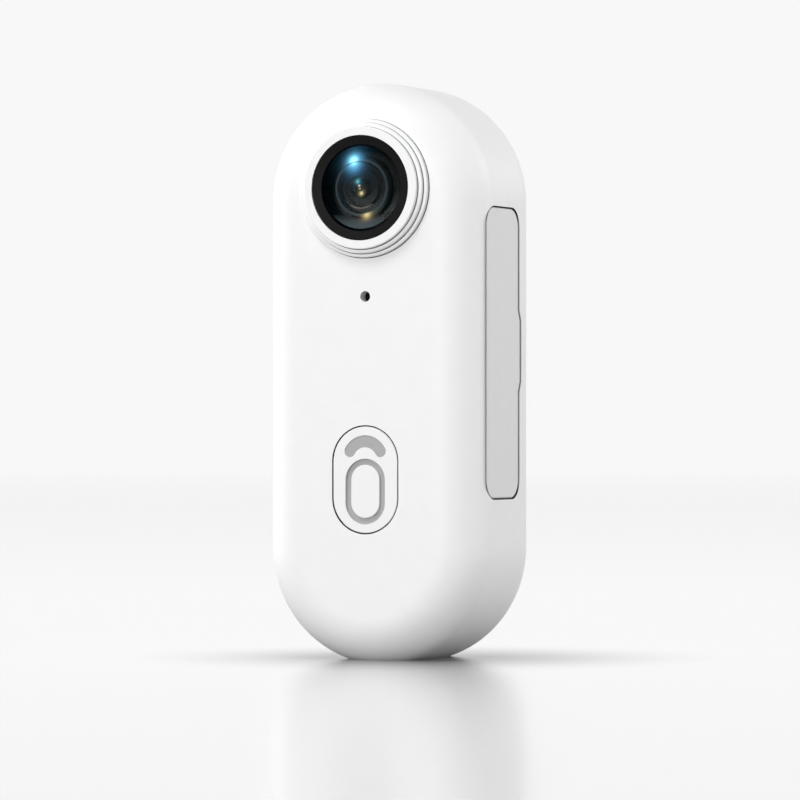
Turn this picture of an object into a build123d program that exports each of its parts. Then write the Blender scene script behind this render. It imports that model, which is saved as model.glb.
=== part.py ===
from build123d import *
import math
import os

# A thumb-size camera: a white capsule with a wide lens, a microphone hole and a
# lit button on its front, and a flap over its sockets on its right side.
# Frame: +Z up, the lens looks along -Y, the flap is on +X, and the origin is the
# middle of the flat foot. Every size is in millimetres.

# Body
BODY_HEIGHT = 61.0
BODY_WIDTH = 24.8
BODY_DEPTH = 18.4
EDGE_ROUND = 4.8
FOOT_CUT = 0.6
WALL = 1.3
REAR_SHELL_DEPTH = 2.4
LIP_HEIGHT = 1.2
LIP_THICKNESS = 0.7
SNAP_LENGTH = 5.0
SNAP_WIDTH = 0.5
SNAP_REACH = 0.2
SNAP_HEIGHTS = (15.2, 45.8)
MAGNET_RADIUS = 4.5
MAGNET_THICKNESS = 1.0
MAGNET_POCKET = 0.5
MAGNET_WALL = 0.7
MAGNET_HEIGHTS = (15.0, 30.0)

# Clearances: between parts that are put together, of glued and pressed seats,
# round moving parts, under the flap, round screws, and between loose layers
FIT = 0.05
SEAT_GAP = 0.02
RUNNING_GAP = 0.13
LANDING_GAP = 0.09
SCREW_FIT = 0.05
LAYER_GAP = 0.15

# Lens group: radii, and how far each step stands off the front face
LENS_HEIGHT = 49.72
BASE_RING_RADIUS = 7.3
BASE_RING_STEP = 0.54
MIDDLE_RING_RADIUS = 6.9
MIDDLE_RING_STEP = 0.96
FRONT_RING_RADIUS = 6.45
FRONT_RING_STEP = 1.46
RING_CORNER = 0.12
RING_GROOVE_WIDTH = 0.08
RING_GROOVE_DEPTH = 0.16
BEZEL_NECK_RADIUS = 6.2
BEZEL_NECK_LENGTH = 3.0
RETAINER_RADIUS = 5.5
RETAINER_BORE = 4.55
RETAINER_INSET = 0.06
RETAINER_SLOPE = 0.25
RETAINER_CHAMFER = 0.1
BARREL_HEAD_RADIUS = 5.4
BARREL_HEAD_LENGTH = 3.2
BARREL_RADIUS = 4.6
BARREL_EXIT_RADIUS = 2.5
GLASS_EDGE_DEPTH = 0.56
GLASS_THICKNESSES = (1.5, 1.13, 1.0, 0.8, 0.9)
GLASS_GAPS = (1.0, 0.8, 1.4, 1.2, 0.8)
GLASS_SAGS = ((1.1, 1.4), (0.6, 1.0), (0.5, -0.4), (0.3, -0.4), (-0.25, -0.4))
FRONT_GLASS_RADIUS = 4.95
FRONT_GLASS_REAR_RADIUS = 3.9
SECOND_GLASS_RADIUS = 4.0
SECOND_GLASS_FRONT_RADIUS = 3.6
SECOND_GLASS_REAR_RADIUS = 2.6
REAR_GLASS_RADIUS = 3.2
REAR_GLASS_CLEAR = 2.7
SPACER_CORNER = 0.4
STOP_RADIUS = 1.1
STOP_THICKNESS = 0.2
STOP_DEPTH = 0.7
LENS_MOUNT_SIZE = 13.0
LENS_MOUNT_CORNER = 1.5
LENS_MOUNT_FLANGE = 2.6
LENS_MOUNT_WALL = 1.0
SENSOR_CHAMBER_SIZE = 8.4
SENSOR_CHAMBER_DEPTH = 1.7
SENSOR_SIZE = 7.6
SENSOR_THICKNESS = 0.9
FILTER_THICKNESS = 0.3
SENSOR_BOARD_RADIUS = 9.0
SENSOR_BOARD_FRONT = 3.2
BOARD_SUPPORT_INSET = 0.3
SENSOR_SCREW_OFFSET = 4.8

# Front of the body
MIC_HEIGHT = 38.33
MIC_HOLE_RADIUS = 0.57
MIC_PORT_RADIUS = 0.3
MIC_TUBE_RADIUS = 1.7
MIC_MESH_RADIUS = 1.4
MIC_CAN_LENGTH = 3.5
MIC_CAN_WIDTH = 2.6
MIC_CAN_HEIGHT = 1.0
MESH_THICKNESS = 0.14
BUTTON_HEIGHT = 19.05
BUTTON_LENGTH = 11.23
BUTTON_WIDTH = 7.36
BUTTON_SKIN = 0.9
BUTTON_FLANGE = 0.55
BUTTON_FLANGE_THICKNESS = 0.5
BUTTON_SIDE_WALL = 0.6
BUTTON_CORNER = 0.1
KEY_DROP = 1.23
KEY_LENGTH = 5.62
KEY_WIDTH = 3.26
LIGHT_RING_WIDTH = 0.64
LIGHT_RING_RECESS = 0.35
LIGHT_GUIDE_THICKNESS = 0.6
ARC_RISE = 2.05
ARC_RADIUS = 2.0
ARC_WIDTH = 1.25
ARC_HALF_ANGLE = 61.0
ARC_RECESS = 0.08
PAD_ROUND = 0.2
SWITCH_SIZE = 4.0
SWITCH_CHAMFER = 0.4
SWITCH_FLOOR = 0.15
SWITCH_HEIGHT = 0.9
SWITCH_KEY_RADIUS = 1.0
SWITCH_KEY_STANDOUT = 0.35
LED_LENGTH = 1.6
LED_WIDTH = 0.8
LED_HEIGHT = 0.6
LED_GAP = 0.1

# Flap over the sockets
DOOR_BOTTOM = 17.06
DOOR_TOP = 47.77
DOOR_FRONT = -5.62
DOOR_REAR = 3.3
DOOR_CORNER = 2.0
DOOR_THICKNESS = 1.2
DOOR_INSET = 0.08
DOOR_EDGE_ROUND = 0.2
TAB_BOTTOM = 28.7
TAB_TOP = 36.65
TAB_REACH = 0.5
TAB_SLOPE = 0.7
SEAL_INSET = 1.05
SEAL_REAR_INSET = 1.2
SEAL_WIDTH = 0.7
SEAL_HEIGHT = 0.8
STRAP_WIDTH = 4.0
STRAP_SPACING = 16.0
STRAP_THICKNESS = 0.36
STRAP_FOOT_THICKNESS = 0.46
STRAP_FOOT_DEPTH = 1.2
STRAP_GAP = 0.07
STRAP_INSET = 0.12
STRAP_ROOM = 0.22

# Socket tray behind the flap
TRAY_RIM = 0.9
TRAY_DEPTH = 1.3
TRAY_WALL = 0.7
TRAY_SIDE_WALL = 0.8
TRAY_FLANGE = 0.9
TRAY_FLANGE_THICKNESS = 0.6
USB_HEIGHT = 22.6
USB_LENGTH = 8.94
USB_THICKNESS = 3.16
USB_DEPTH = 7.3
USB_WALL = 0.3
USB_BACK_WALL = 1.0
USB_TONGUE_LENGTH = 6.69
USB_TONGUE_THICKNESS = 0.7
USB_TONGUE_INSET = 0.6
CARD_HEIGHT = 35.4
CARD_WIDTH = 11.0
CARD_LENGTH = 15.0
CARD_THICKNESS = 0.7
CARD_LIP = 0.3
CARD_LIP_WIDTH = 1.6
CARD_STEP = 1.3
CARD_STEP_START = 8.6
CARD_LIP_INSET = 0.4
CARD_STANDOUT = 0.5
CARD_PUSH = 0.5
SOCKET_WIDTH = 13.4
SOCKET_THICKNESS = 1.45
SOCKET_END_WALL = 0.3
SOCKET_ROOM = 0.18
RESET_HEIGHT = 33.4
RESET_DEPTH = 1.2
RESET_HOLE_RADIUS = 0.45
RESET_CASE_LENGTH = 2.4
RESET_CASE_WIDTH = 3.5
RESET_KEY_WIDTH = 0.8
RESET_KEY_HEIGHT = 1.4
RESET_BORE_DEPTH = 1.0
RESET_KEY_DEPTH = 0.7
RESET_KEY_STANDOUT = 0.45
KEY_CORNER = 0.2

# Boards, cell and frame
BOARD_THICKNESS = 0.8
MAIN_BOARD_FRONT = -1.0
MAIN_BOARD_SIDE_GAP = 0.9
MAIN_BOARD_CORNER = 3.0
MAIN_BOARD_DROP = 5.6
MAIN_BOARD_TOP_GAP = 0.85
MAIN_SCREW_RISE = 2.4
MAIN_SCREW_SIDE = 2.0
FRONT_BOARD_FRONT = -5.6
FRONT_BOARD_WIDTH = 12.6
FRONT_BOARD_DROP = 0.4
FRONT_BOARD_TOP_GAP = 1.75
FRONT_BOARD_CORNER = 1.0
BOARD_HOLE_INSET = 1.4
FRAME_FRONT = 1.5
FRAME_THICKNESS = 0.7
FRAME_SIDE_GAP = 0.7
FRAME_MARGIN = 2.6
FRAME_WINDOW_SIDE = 5.0
FRAME_WINDOW_END = 9.5
FRAME_STOP_HEIGHTS = (10.5, 34.0)
FRAME_STOP_SIZE = 3.5
FRAME_STOP_THICKNESS = 0.9
FRAME_STOP_REACH = 0.4
CELL_TOP_GAP = 1.75
CELL_EDGE_ROUND = 1.47
FOAM_THICKNESS = 0.15
FOAM_LENGTH = 7.0
FOAM_INSET = 1.8
PROCESSOR_BOTTOM = 26.0
PROCESSOR_TOP = 36.4
PROCESSOR_HEIGHT = 0.9
PROCESSOR_GAP = 1.1
SHIELD_HEIGHT = 1.3
SHIELD_MARGIN = 0.6
SHIELD_WALL = 0.15
PAD_THICKNESS = 0.3
SPREADER_MARGIN = 0.4
SPREADER_TAIL = 4.0
CHIP_HEIGHT = 0.8
CHIP_SIDE_GAP = 1.6
CHIP_USB_GAP = 0.75
CHIP_GAP = 0.8
MEMORY_WIDTH = 6.0
MEMORY_LENGTH = 8.0
MEMORY_BOTTOM = 12.6
RADIO_SIZE = 3.0
POWER_SIZE = 3.0
POWER_BOTTOM = 28.6
HEADER_WIDTH = 2.0
HEADER_BOTTOM = 32.4
HEADER_TOP = 38.0
HEADER_STEP = 0.3
HEADER_GAP = 1.15
PLUG_HEIGHT = 1.9
PLUG_WIDTH = 4.8
PLUG_LENGTH = 3.2
PLUG_RISE = 1.2
PLUG_CHAMFER = 0.3
LEAD_RADIUS = 0.45
LEAD_BEND = 1.3
LEAD_DROP = 2.4
FLEX_THICKNESS = 0.14
FLEX_BEND = 0.34
FLEX_SPARE = 0.45
FLEX_ROOM = 0.7
FLEX_TAIL = 2.4
FLEX_LEFT = -5.4
FLEX_RIGHT = -0.9
ANTENNA_THICKNESS = 0.2
ANTENNA_HALF_ANGLE = 32.0
ANTENNA_FRONT = -3.2
ANTENNA_REAR = 1.6
SCREW_RADIUS = 0.5
SCREW_HEAD_RADIUS = 1.0
SCREW_HEAD_HEIGHT = 0.45
SCREW_LENGTH = 2.6
BOSS_RADIUS = 1.25

# Body: places worked out from the sizes above
FRONT = -BODY_DEPTH / 2
REAR = BODY_DEPTH / 2
SIDE = BODY_WIDTH / 2
INNER_FRONT = FRONT + WALL
INNER_REAR = REAR - WALL
INNER_SIDE = SIDE - WALL
INNER_ROUND = EDGE_ROUND - WALL
LOW_END = SIDE - FOOT_CUT
HIGH_END = BODY_HEIGHT - SIDE
UNCUT_CENTRE = (BODY_HEIGHT - FOOT_CUT) / 2
SPLIT = REAR - REAR_SHELL_DEPTH
SPLIT_SIDE = INNER_SIDE - INNER_ROUND + math.sqrt(INNER_ROUND**2 - (SPLIT - INNER_REAR + INNER_ROUND) ** 2)
LIP_BORE = SPLIT_SIDE - FIT - LIP_THICKNESS
MAGNET_FRONT = INNER_REAR + MAGNET_POCKET - MAGNET_THICKNESS

# Flap and tray
DOOR_FACE = SIDE - DOOR_INSET
DOOR_INNER_FACE = DOOR_FACE - DOOR_THICKNESS
DOOR_MIDDLE = (DOOR_BOTTOM + DOOR_TOP) / 2
HINGE_X = DOOR_FACE - DOOR_EDGE_ROUND
STRAP_HEIGHTS = (DOOR_MIDDLE - STRAP_SPACING / 2, DOOR_MIDDLE + STRAP_SPACING / 2)
STRAP_FRONT = DOOR_FRONT + STRAP_INSET
TRAY_FACE = INNER_SIDE - FIT
TRAY_LANDING = DOOR_INNER_FACE - LANDING_GAP
TRAY_FLOOR = TRAY_FACE - TRAY_DEPTH
TRAY_BACK = TRAY_FLOOR - TRAY_WALL

# Lens, along its axis from front to rear
BEZEL_FACE = FRONT - FRONT_RING_STEP
BEZEL_REAR = BEZEL_FACE + BEZEL_NECK_LENGTH
RETAINER_FRONT = BEZEL_FACE + RETAINER_INSET
GLASS_EDGE = BEZEL_FACE + GLASS_EDGE_DEPTH
BARREL_FRONT = GLASS_EDGE - FIT
BARREL_HEAD_REAR = BARREL_FRONT + BARREL_HEAD_LENGTH
MOUNT_FRONT = BARREL_HEAD_REAR + 2 * FIT
GLASS_1_REAR = GLASS_EDGE + GLASS_THICKNESSES[0]
SPACER_1_REAR = GLASS_1_REAR + GLASS_GAPS[0]
GLASS_2_FRONT = SPACER_1_REAR + SEAT_GAP
GLASS_2_REAR = GLASS_2_FRONT + GLASS_THICKNESSES[1]
SPACER_2_REAR = GLASS_2_REAR + GLASS_GAPS[1]
GLASS_3_FRONT = SPACER_2_REAR + 2 * SEAT_GAP
GLASS_3_REAR = GLASS_3_FRONT + GLASS_THICKNESSES[2]
STOP_FRONT = GLASS_3_REAR + STOP_DEPTH
GLASS_4_FRONT = GLASS_3_REAR + GLASS_GAPS[2]
GLASS_4_REAR = GLASS_4_FRONT + GLASS_THICKNESSES[3]
GLASS_5_FRONT = GLASS_4_REAR + GLASS_GAPS[3]
GLASS_5_REAR = GLASS_5_FRONT + GLASS_THICKNESSES[4]
BARREL_REAR = GLASS_5_REAR + GLASS_GAPS[4]
SENSOR_BOARD_REAR = SENSOR_BOARD_FRONT + BOARD_THICKNESS
SENSOR_SCREWS = (
    (-SENSOR_SCREW_OFFSET, LENS_HEIGHT + SENSOR_SCREW_OFFSET),
    (SENSOR_SCREW_OFFSET, LENS_HEIGHT - SENSOR_SCREW_OFFSET),
)

# Button and switch, from front to rear
KEY_HEIGHT = BUTTON_HEIGHT - KEY_DROP
ARC_CENTRE_HEIGHT = BUTTON_HEIGHT + ARC_RISE
BUTTON_REAR = INNER_FRONT + 2 * FIT + BUTTON_FLANGE_THICKNESS
SKIN_REAR = FRONT + BUTTON_SKIN
GUIDE_REAR = SKIN_REAR + LIGHT_GUIDE_THICKNESS
SWITCH_FRONT = FRONT_BOARD_FRONT - SWITCH_HEIGHT
SWITCH_KEY_FRONT = SWITCH_FRONT - SWITCH_KEY_STANDOUT

# Boards
FLEX_SPAN = (FLEX_LEFT - FLEX_ROOM, FLEX_RIGHT + FLEX_ROOM)
MAIN_BOARD_REAR = MAIN_BOARD_FRONT + BOARD_THICKNESS
MAIN_BOARD_LEFT = MAIN_BOARD_SIDE_GAP - INNER_SIDE
MAIN_BOARD_RIGHT = TRAY_BACK - LAYER_GAP
MAIN_BOARD_BOTTOM = LOW_END - MAIN_BOARD_DROP
MAIN_BOARD_TOP = LENS_HEIGHT - LENS_MOUNT_SIZE / 2 - MAIN_BOARD_TOP_GAP
PLUG_BOTTOM = MAIN_BOARD_BOTTOM + PLUG_RISE
FRONT_BOARD_REAR = FRONT_BOARD_FRONT + BOARD_THICKNESS
FRONT_BOARD_BOTTOM = LOW_END - FRONT_BOARD_DROP
FRONT_BOARD_TOP = LENS_HEIGHT - BEZEL_NECK_RADIUS - FRONT_BOARD_TOP_GAP
USB_MIDDLE = MAIN_BOARD_FRONT - USB_THICKNESS / 2
USB_END = TRAY_FLOOR - USB_DEPTH
CARD_MIDDLE = MAIN_BOARD_REAR + SOCKET_THICKNESS / 2
RESET_MIDDLE = MAIN_BOARD_FRONT - RESET_DEPTH
FRONT_SCREWS = [
    (side * (FRONT_BOARD_WIDTH / 2 - BOARD_HOLE_INSET), z)
    for side in (-1, 1)
    for z in (FRONT_BOARD_BOTTOM + BOARD_HOLE_INSET, FRONT_BOARD_TOP - BOARD_HOLE_INSET)
]
MAIN_SCREWS = (
    (MAIN_BOARD_LEFT + BOARD_HOLE_INSET, MAIN_BOARD_BOTTOM + MAIN_SCREW_RISE),
    (MAIN_BOARD_RIGHT - MAIN_SCREW_SIDE, MAIN_BOARD_BOTTOM + MAIN_SCREW_RISE),
    (MAIN_BOARD_LEFT + BOARD_HOLE_INSET, PROCESSOR_BOTTOM - MAIN_SCREW_RISE),
)

# Frame and cell
FRAME_SIDE = INNER_SIDE - FRAME_SIDE_GAP
FRAME_REAR = FRAME_FRONT + FRAME_THICKNESS
CELL_FRONT = FRAME_REAR + FOAM_THICKNESS
CELL_REAR = MAGNET_FRONT - LAYER_GAP
CELL_SIDE = TRAY_BACK - LAYER_GAP
CELL_BOTTOM = LOW_END - math.sqrt(LIP_BORE**2 - CELL_SIDE**2) + LAYER_GAP
CELL_TOP = LENS_HEIGHT - SENSOR_BOARD_RADIUS - CELL_TOP_GAP
FRAME_BOTTOM = CELL_BOTTOM - FRAME_MARGIN
FRAME_TOP = CELL_TOP + FRAME_MARGIN


# Basic forms


def block(x, y, z):
    """A box between the two values given for each axis."""
    size = [axis[1] - axis[0] for axis in (x, y, z)]
    middle = [(axis[1] + axis[0]) / 2 for axis in (x, y, z)]
    return Pos(*middle) * Box(*size)


def along_y(sketch, front, rear):
    """A sketch drawn as X and Z, thickened from front to rear."""
    face = Plane(origin=(0, rear, 0), x_dir=(1, 0, 0), z_dir=(0, -1, 0))
    return extrude(face * sketch, amount=rear - front)


def along_x(sketch, inner, outer):
    """A sketch drawn as Y and Z, thickened from inner to outer."""
    face = Plane(origin=(inner, 0, 0), x_dir=(0, 1, 0), z_dir=(1, 0, 0))
    return extrude(face * sketch, amount=outer - inner)


def disc(x, z, radius, front, rear):
    """A round bar along Y."""
    return along_y(Pos(x, z) * Circle(radius), front, rear)


def turned(points):
    """A ring or disc about the lens axis, from its half section as radius and Y."""
    section = Plane.XY.offset(LENS_HEIGHT) * make_face(Polyline(*points, close=True))
    return revolve(section, Axis((0, 0, LENS_HEIGHT), (0, 1, 0)))


def ring(inner, outer, front, rear):
    """A plain ring about the lens axis."""
    return disc(0, LENS_HEIGHT, outer, front, rear) - disc(0, LENS_HEIGHT, inner, front - 1, rear + 1)


def dome(radius, edge, sag):
    """The half section of a lens surface, from the axis to its edge at that Y.
    A positive sag puts the middle in front of the edge."""
    sphere = (radius**2 + sag**2) / (2 * abs(sag))
    half = math.asin(radius / sphere) / 2
    side = math.copysign(1, sag)
    middle = edge - sag + side * sphere * (1 - math.cos(half))
    return ThreePointArc((0, edge - sag), (sphere * math.sin(half), middle), (radius, edge))


def glass(radius, front, rear):
    """A lens element about the lens axis. Each side is its edge's Y, how far its
    middle stands in front of that edge, and the radius of its curved part."""
    corners = [(front[2], front[0]), (radius, front[0]), (radius, rear[0]), (rear[2], rear[0])]
    rim = [point for i, point in enumerate(corners) if point not in corners[:i]]
    edges = [
        dome(front[2], front[0], front[1]),
        Polyline(*rim),
        dome(rear[2], rear[0], rear[1]),
        Line((0, rear[0] - rear[1]), (0, front[0] - front[1])),
    ]
    section = Plane.XY.offset(LENS_HEIGHT) * make_face(edges)
    return revolve(section, Axis((0, 0, LENS_HEIGHT), (0, 1, 0)))


def capsule(inset):
    """The body's form before its foot is cut, drawn in by inset on every side."""
    height = BODY_HEIGHT + FOOT_CUT - 2 * inset
    width = BODY_WIDTH - 2 * inset
    outline = Pos(0, UNCUT_CENTRE) * SlotOverall(height, width, rotation=90)
    solid = along_y(outline, FRONT + inset, REAR - inset)
    rims = solid.faces().filter_by(Axis.Y).edges()
    return fillet(rims, EDGE_ROUND - inset)


def behind(y):
    """All the space behind a plane across Y."""
    reach = 2 * BODY_HEIGHT
    return block((-reach, reach), (y, reach), (-reach, reach))


def above_foot():
    """All the space above the foot's plane."""
    reach = 2 * BODY_HEIGHT
    return block((-reach, reach), (-reach, reach), (0, reach))


def screw_holes(places, front, rear):
    """The clearance holes for a set of screws."""
    return Compound([disc(x, z, SCREW_RADIUS + SCREW_FIT, front, rear) for x, z in places])


def screw(x, z, head_face, side):
    """A pan-head screw along Y. side is +1 where its head faces the rear."""
    head = disc(x, z, SCREW_HEAD_RADIUS, *sorted((head_face, head_face + side * SCREW_HEAD_HEIGHT)))
    shank = disc(x, z, SCREW_RADIUS, *sorted((head_face - side * SCREW_LENGTH, head_face)))
    recess = disc(x, z, SCREW_RADIUS, *sorted((head_face + side * SCREW_HEAD_HEIGHT / 2, head_face + side)))
    return head + shank - recess


# Outlines that more than one part follows


def door_outline():
    """The flap's outline as Y and Z, with the pull tab on its rear edge."""
    middle = (DOOR_FRONT + DOOR_REAR) / 2
    flap = RectangleRounded(DOOR_REAR - DOOR_FRONT, DOOR_TOP - DOOR_BOTTOM, DOOR_CORNER)
    tab = make_face(
        Polyline(
            (DOOR_REAR - TAB_REACH, TAB_BOTTOM - TAB_SLOPE),
            (DOOR_REAR, TAB_BOTTOM - TAB_SLOPE / 2),
            (DOOR_REAR + TAB_REACH, TAB_BOTTOM + TAB_SLOPE),
            (DOOR_REAR + TAB_REACH, TAB_TOP - TAB_SLOPE),
            (DOOR_REAR, TAB_TOP + TAB_SLOPE / 2),
            (DOOR_REAR - TAB_REACH, TAB_TOP + TAB_SLOPE),
            close=True,
        )
    )
    return Pos(middle, DOOR_MIDDLE) * flap + tab


def tray_outline(inset, rear_inset=None):
    """A rounded rectangle inside the flap's outline, as Y and Z."""
    rear_inset = inset if rear_inset is None else rear_inset
    front = DOOR_FRONT + inset
    rear = DOOR_REAR - rear_inset
    height = DOOR_TOP - DOOR_BOTTOM - 2 * inset
    corner = max(DOOR_CORNER - inset, 0.4)
    return Pos((front + rear) / 2, DOOR_MIDDLE) * RectangleRounded(rear - front, height, corner)


def button_outline(grow):
    """The button's outline as X and Z, grown on every side."""
    slot = SlotOverall(BUTTON_LENGTH + 2 * grow, BUTTON_WIDTH + 2 * grow, rotation=90)
    return Pos(0, BUTTON_HEIGHT) * slot


def key_outline(grow):
    """The outline of the button's raised middle as X and Z, grown on every side."""
    slot = SlotOverall(KEY_LENGTH + 2 * grow, KEY_WIDTH + 2 * grow, rotation=90)
    return Pos(0, KEY_HEIGHT) * slot


def light_arc(width):
    """The arched light window above the button's middle, as X and Z."""
    arc = CenterArc((0, 0), ARC_RADIUS, 90 - ARC_HALF_ANGLE, 2 * ARC_HALF_ANGLE)
    return Pos(0, ARC_CENTRE_HEIGHT) * SlotArc(arc, width)


# Shells


def snap_beads(grow):
    """Beads on the outside of the rear shell's lip, or the notches for them."""
    middle = SPLIT - LIP_HEIGHT / 2
    y = (middle - SNAP_WIDTH / 2 - grow, middle + SNAP_WIDTH / 2 + grow)
    half = SNAP_LENGTH / 2 + grow
    zones = [
        block(sorted((side * LIP_BORE, side * SIDE)), y, (z - half, z + half))
        for side in (-1, 1)
        for z in SNAP_HEIGHTS
    ]
    return (capsule(WALL - SNAP_REACH - grow) - capsule(WALL + FIT + 0.01)) & Compound(zones)


def lip_bore():
    """The straight stadium hole through the rear shell's lip."""
    outline = Pos(0, UNCUT_CENTRE) * SlotCenterToCenter(HIGH_END - LOW_END, 2 * LIP_BORE, rotation=90)
    return along_y(outline, SPLIT - 2 * LIP_HEIGHT, REAR)


def frame_stops():
    """Blocks inside the front shell that the inner frame rests against."""
    y = (FRAME_FRONT - FIT - FRAME_STOP_THICKNESS, FRAME_FRONT - FIT)
    places = [(-1, z) for z in FRAME_STOP_HEIGHTS] + [(1, FRAME_STOP_HEIGHTS[0])]
    blocks = [
        block(sorted((side * (FRAME_SIDE - FRAME_STOP_REACH), side * SIDE)), y, (z, z + FRAME_STOP_SIZE))
        for side, z in places
    ]
    return Compound(blocks) & capsule(WALL / 2)


def front_shell():
    """The main housing: front, sides and foot, with every opening in it."""
    shell = capsule(0) - capsule(WALL) - behind(SPLIT)
    shell = shell + disc(0, LENS_HEIGHT, BASE_RING_RADIUS, FRONT - BASE_RING_STEP, INNER_FRONT)
    shell = fillet(shell.edges().filter_by(GeomType.CIRCLE).sort_by(Axis.Y)[0], RING_CORNER)
    for x, z in FRONT_SCREWS:
        shell = shell + disc(x, z, BOSS_RADIUS, INNER_FRONT - FIT, FRONT_BOARD_FRONT)
    shell = shell + frame_stops()
    shell = (shell & above_foot()) - snap_beads(FIT)
    shell = shell - screw_holes(FRONT_SCREWS, INNER_FRONT + 0.3, FRONT_BOARD_FRONT)
    shell = shell - disc(0, LENS_HEIGHT, BEZEL_NECK_RADIUS + FIT, FRONT - 2, INNER_FRONT + 1)
    shell = shell - disc(0, MIC_HEIGHT, MIC_HOLE_RADIUS, FRONT - 1, INNER_FRONT + 1)
    shell = shell - along_y(button_outline(RUNNING_GAP), FRONT - 1, INNER_FRONT + 1)
    return shell - along_x(offset(door_outline(), RUNNING_GAP), INNER_SIDE - 1, SIDE + 1)


def board_support():
    """The ring inside the rear shell that holds the lens board in place."""
    outer = SENSOR_BOARD_RADIUS - BOARD_SUPPORT_INSET
    support = ring(outer - LIP_THICKNESS, outer, SENSOR_BOARD_REAR + FIT, INNER_REAR + FIT)
    gap = block(FLEX_SPAN, (0, REAR), (0, LENS_HEIGHT - SENSOR_SIZE / 2))
    room = capsule(WALL + FIT) + (capsule(WALL / 2) & behind(SPLIT))
    return (support - gap - tray_envelope(FIT)) & room


def rear_shell():
    """The back cover: its plug-in lip, magnet rings and the lens board's ring."""
    shell = (capsule(0) - capsule(WALL)) & behind(SPLIT)
    lip = (capsule(WALL + FIT) & behind(SPLIT - LIP_HEIGHT)) - behind(SPLIT)
    root = (capsule(WALL - 0.1) & behind(SPLIT)) - behind(SPLIT + LIP_THICKNESS)
    shell = shell + (lip + root - lip_bore()) + snap_beads(0) + board_support()
    rim_front = INNER_REAR - MAGNET_POCKET + FIT
    for z in MAGNET_HEIGHTS:
        shell = shell + disc(0, z, MAGNET_RADIUS + MAGNET_WALL, rim_front, INNER_REAR + FIT)
    for z in MAGNET_HEIGHTS:
        shell = shell - disc(0, z, MAGNET_RADIUS + FIT, INNER_REAR - 2, INNER_REAR + MAGNET_POCKET)
    return shell & above_foot()


def rear_magnets():
    """Two disc magnets that hold the camera to steel, glued in the back cover."""
    rear = MAGNET_FRONT + MAGNET_THICKNESS
    return Compound([disc(0, z, MAGNET_RADIUS, MAGNET_FRONT, rear) for z in MAGNET_HEIGHTS])


# Lens


def lens_bezel():
    """The stepped white ring round the lens, pushed into the front shell. A fine
    groove runs round the root of each step."""
    bore = RETAINER_RADIUS + FIT
    middle_face = FRONT - MIDDLE_RING_STEP
    seat = FRONT - BASE_RING_STEP
    body = turned(
        [
            (bore, BEZEL_FACE),
            (FRONT_RING_RADIUS, BEZEL_FACE),
            (FRONT_RING_RADIUS, middle_face - RING_GROOVE_WIDTH),
            (FRONT_RING_RADIUS - RING_GROOVE_DEPTH, middle_face - RING_GROOVE_WIDTH),
            (FRONT_RING_RADIUS - RING_GROOVE_DEPTH, middle_face),
            (MIDDLE_RING_RADIUS, middle_face),
            (MIDDLE_RING_RADIUS, seat - RING_GROOVE_WIDTH),
            (MIDDLE_RING_RADIUS - RING_GROOVE_DEPTH, seat - RING_GROOVE_WIDTH),
            (MIDDLE_RING_RADIUS - RING_GROOVE_DEPTH, seat),
            (BEZEL_NECK_RADIUS, seat),
            (BEZEL_NECK_RADIUS, BEZEL_REAR),
            (bore, BEZEL_REAR),
        ]
    )
    circles = body.edges().filter_by(GeomType.CIRCLE)
    rims = ((FRONT_RING_RADIUS, BEZEL_FACE), (MIDDLE_RING_RADIUS, middle_face))
    outer = [
        edge
        for edge in circles
        for radius, y in rims
        if math.isclose(edge.radius, radius) and math.isclose(edge.center().Y, y, abs_tol=0.001)
    ]
    return fillet(outer, RING_CORNER)


def lens_retaining_ring():
    """The black ring screwed on over the front glass's edge."""
    rear = BARREL_FRONT - SEAT_GAP
    return turned(
        [
            (RETAINER_BORE, RETAINER_FRONT + RETAINER_SLOPE),
            (RETAINER_RADIUS - RETAINER_CHAMFER, RETAINER_FRONT),
            (RETAINER_RADIUS, RETAINER_FRONT + RETAINER_CHAMFER),
            (RETAINER_RADIUS, rear),
            (FRONT_GLASS_RADIUS + FIT, rear),
            (RETAINER_BORE, RETAINER_FRONT + RETAINER_SLOPE + FIT),
        ]
    )


def lens_barrel():
    """The black barrel with stepped bores that hold the glass."""
    return turned(
        [
            (FRONT_GLASS_RADIUS + FIT, BARREL_FRONT),
            (BARREL_HEAD_RADIUS, BARREL_FRONT),
            (BARREL_HEAD_RADIUS, BARREL_HEAD_REAR),
            (BARREL_RADIUS, BARREL_HEAD_REAR),
            (BARREL_RADIUS, BARREL_REAR),
            (BARREL_EXIT_RADIUS, BARREL_REAR),
            (BARREL_EXIT_RADIUS, GLASS_5_REAR + SEAT_GAP),
            (REAR_GLASS_RADIUS + FIT, GLASS_5_REAR + SEAT_GAP),
            (REAR_GLASS_RADIUS + FIT, SPACER_2_REAR + SEAT_GAP),
            (SECOND_GLASS_RADIUS + FIT, SPACER_2_REAR + SEAT_GAP),
            (SECOND_GLASS_RADIUS + FIT, SPACER_1_REAR + SEAT_GAP),
            (FRONT_GLASS_RADIUS + FIT, SPACER_1_REAR + SEAT_GAP),
        ]
    )


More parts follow.
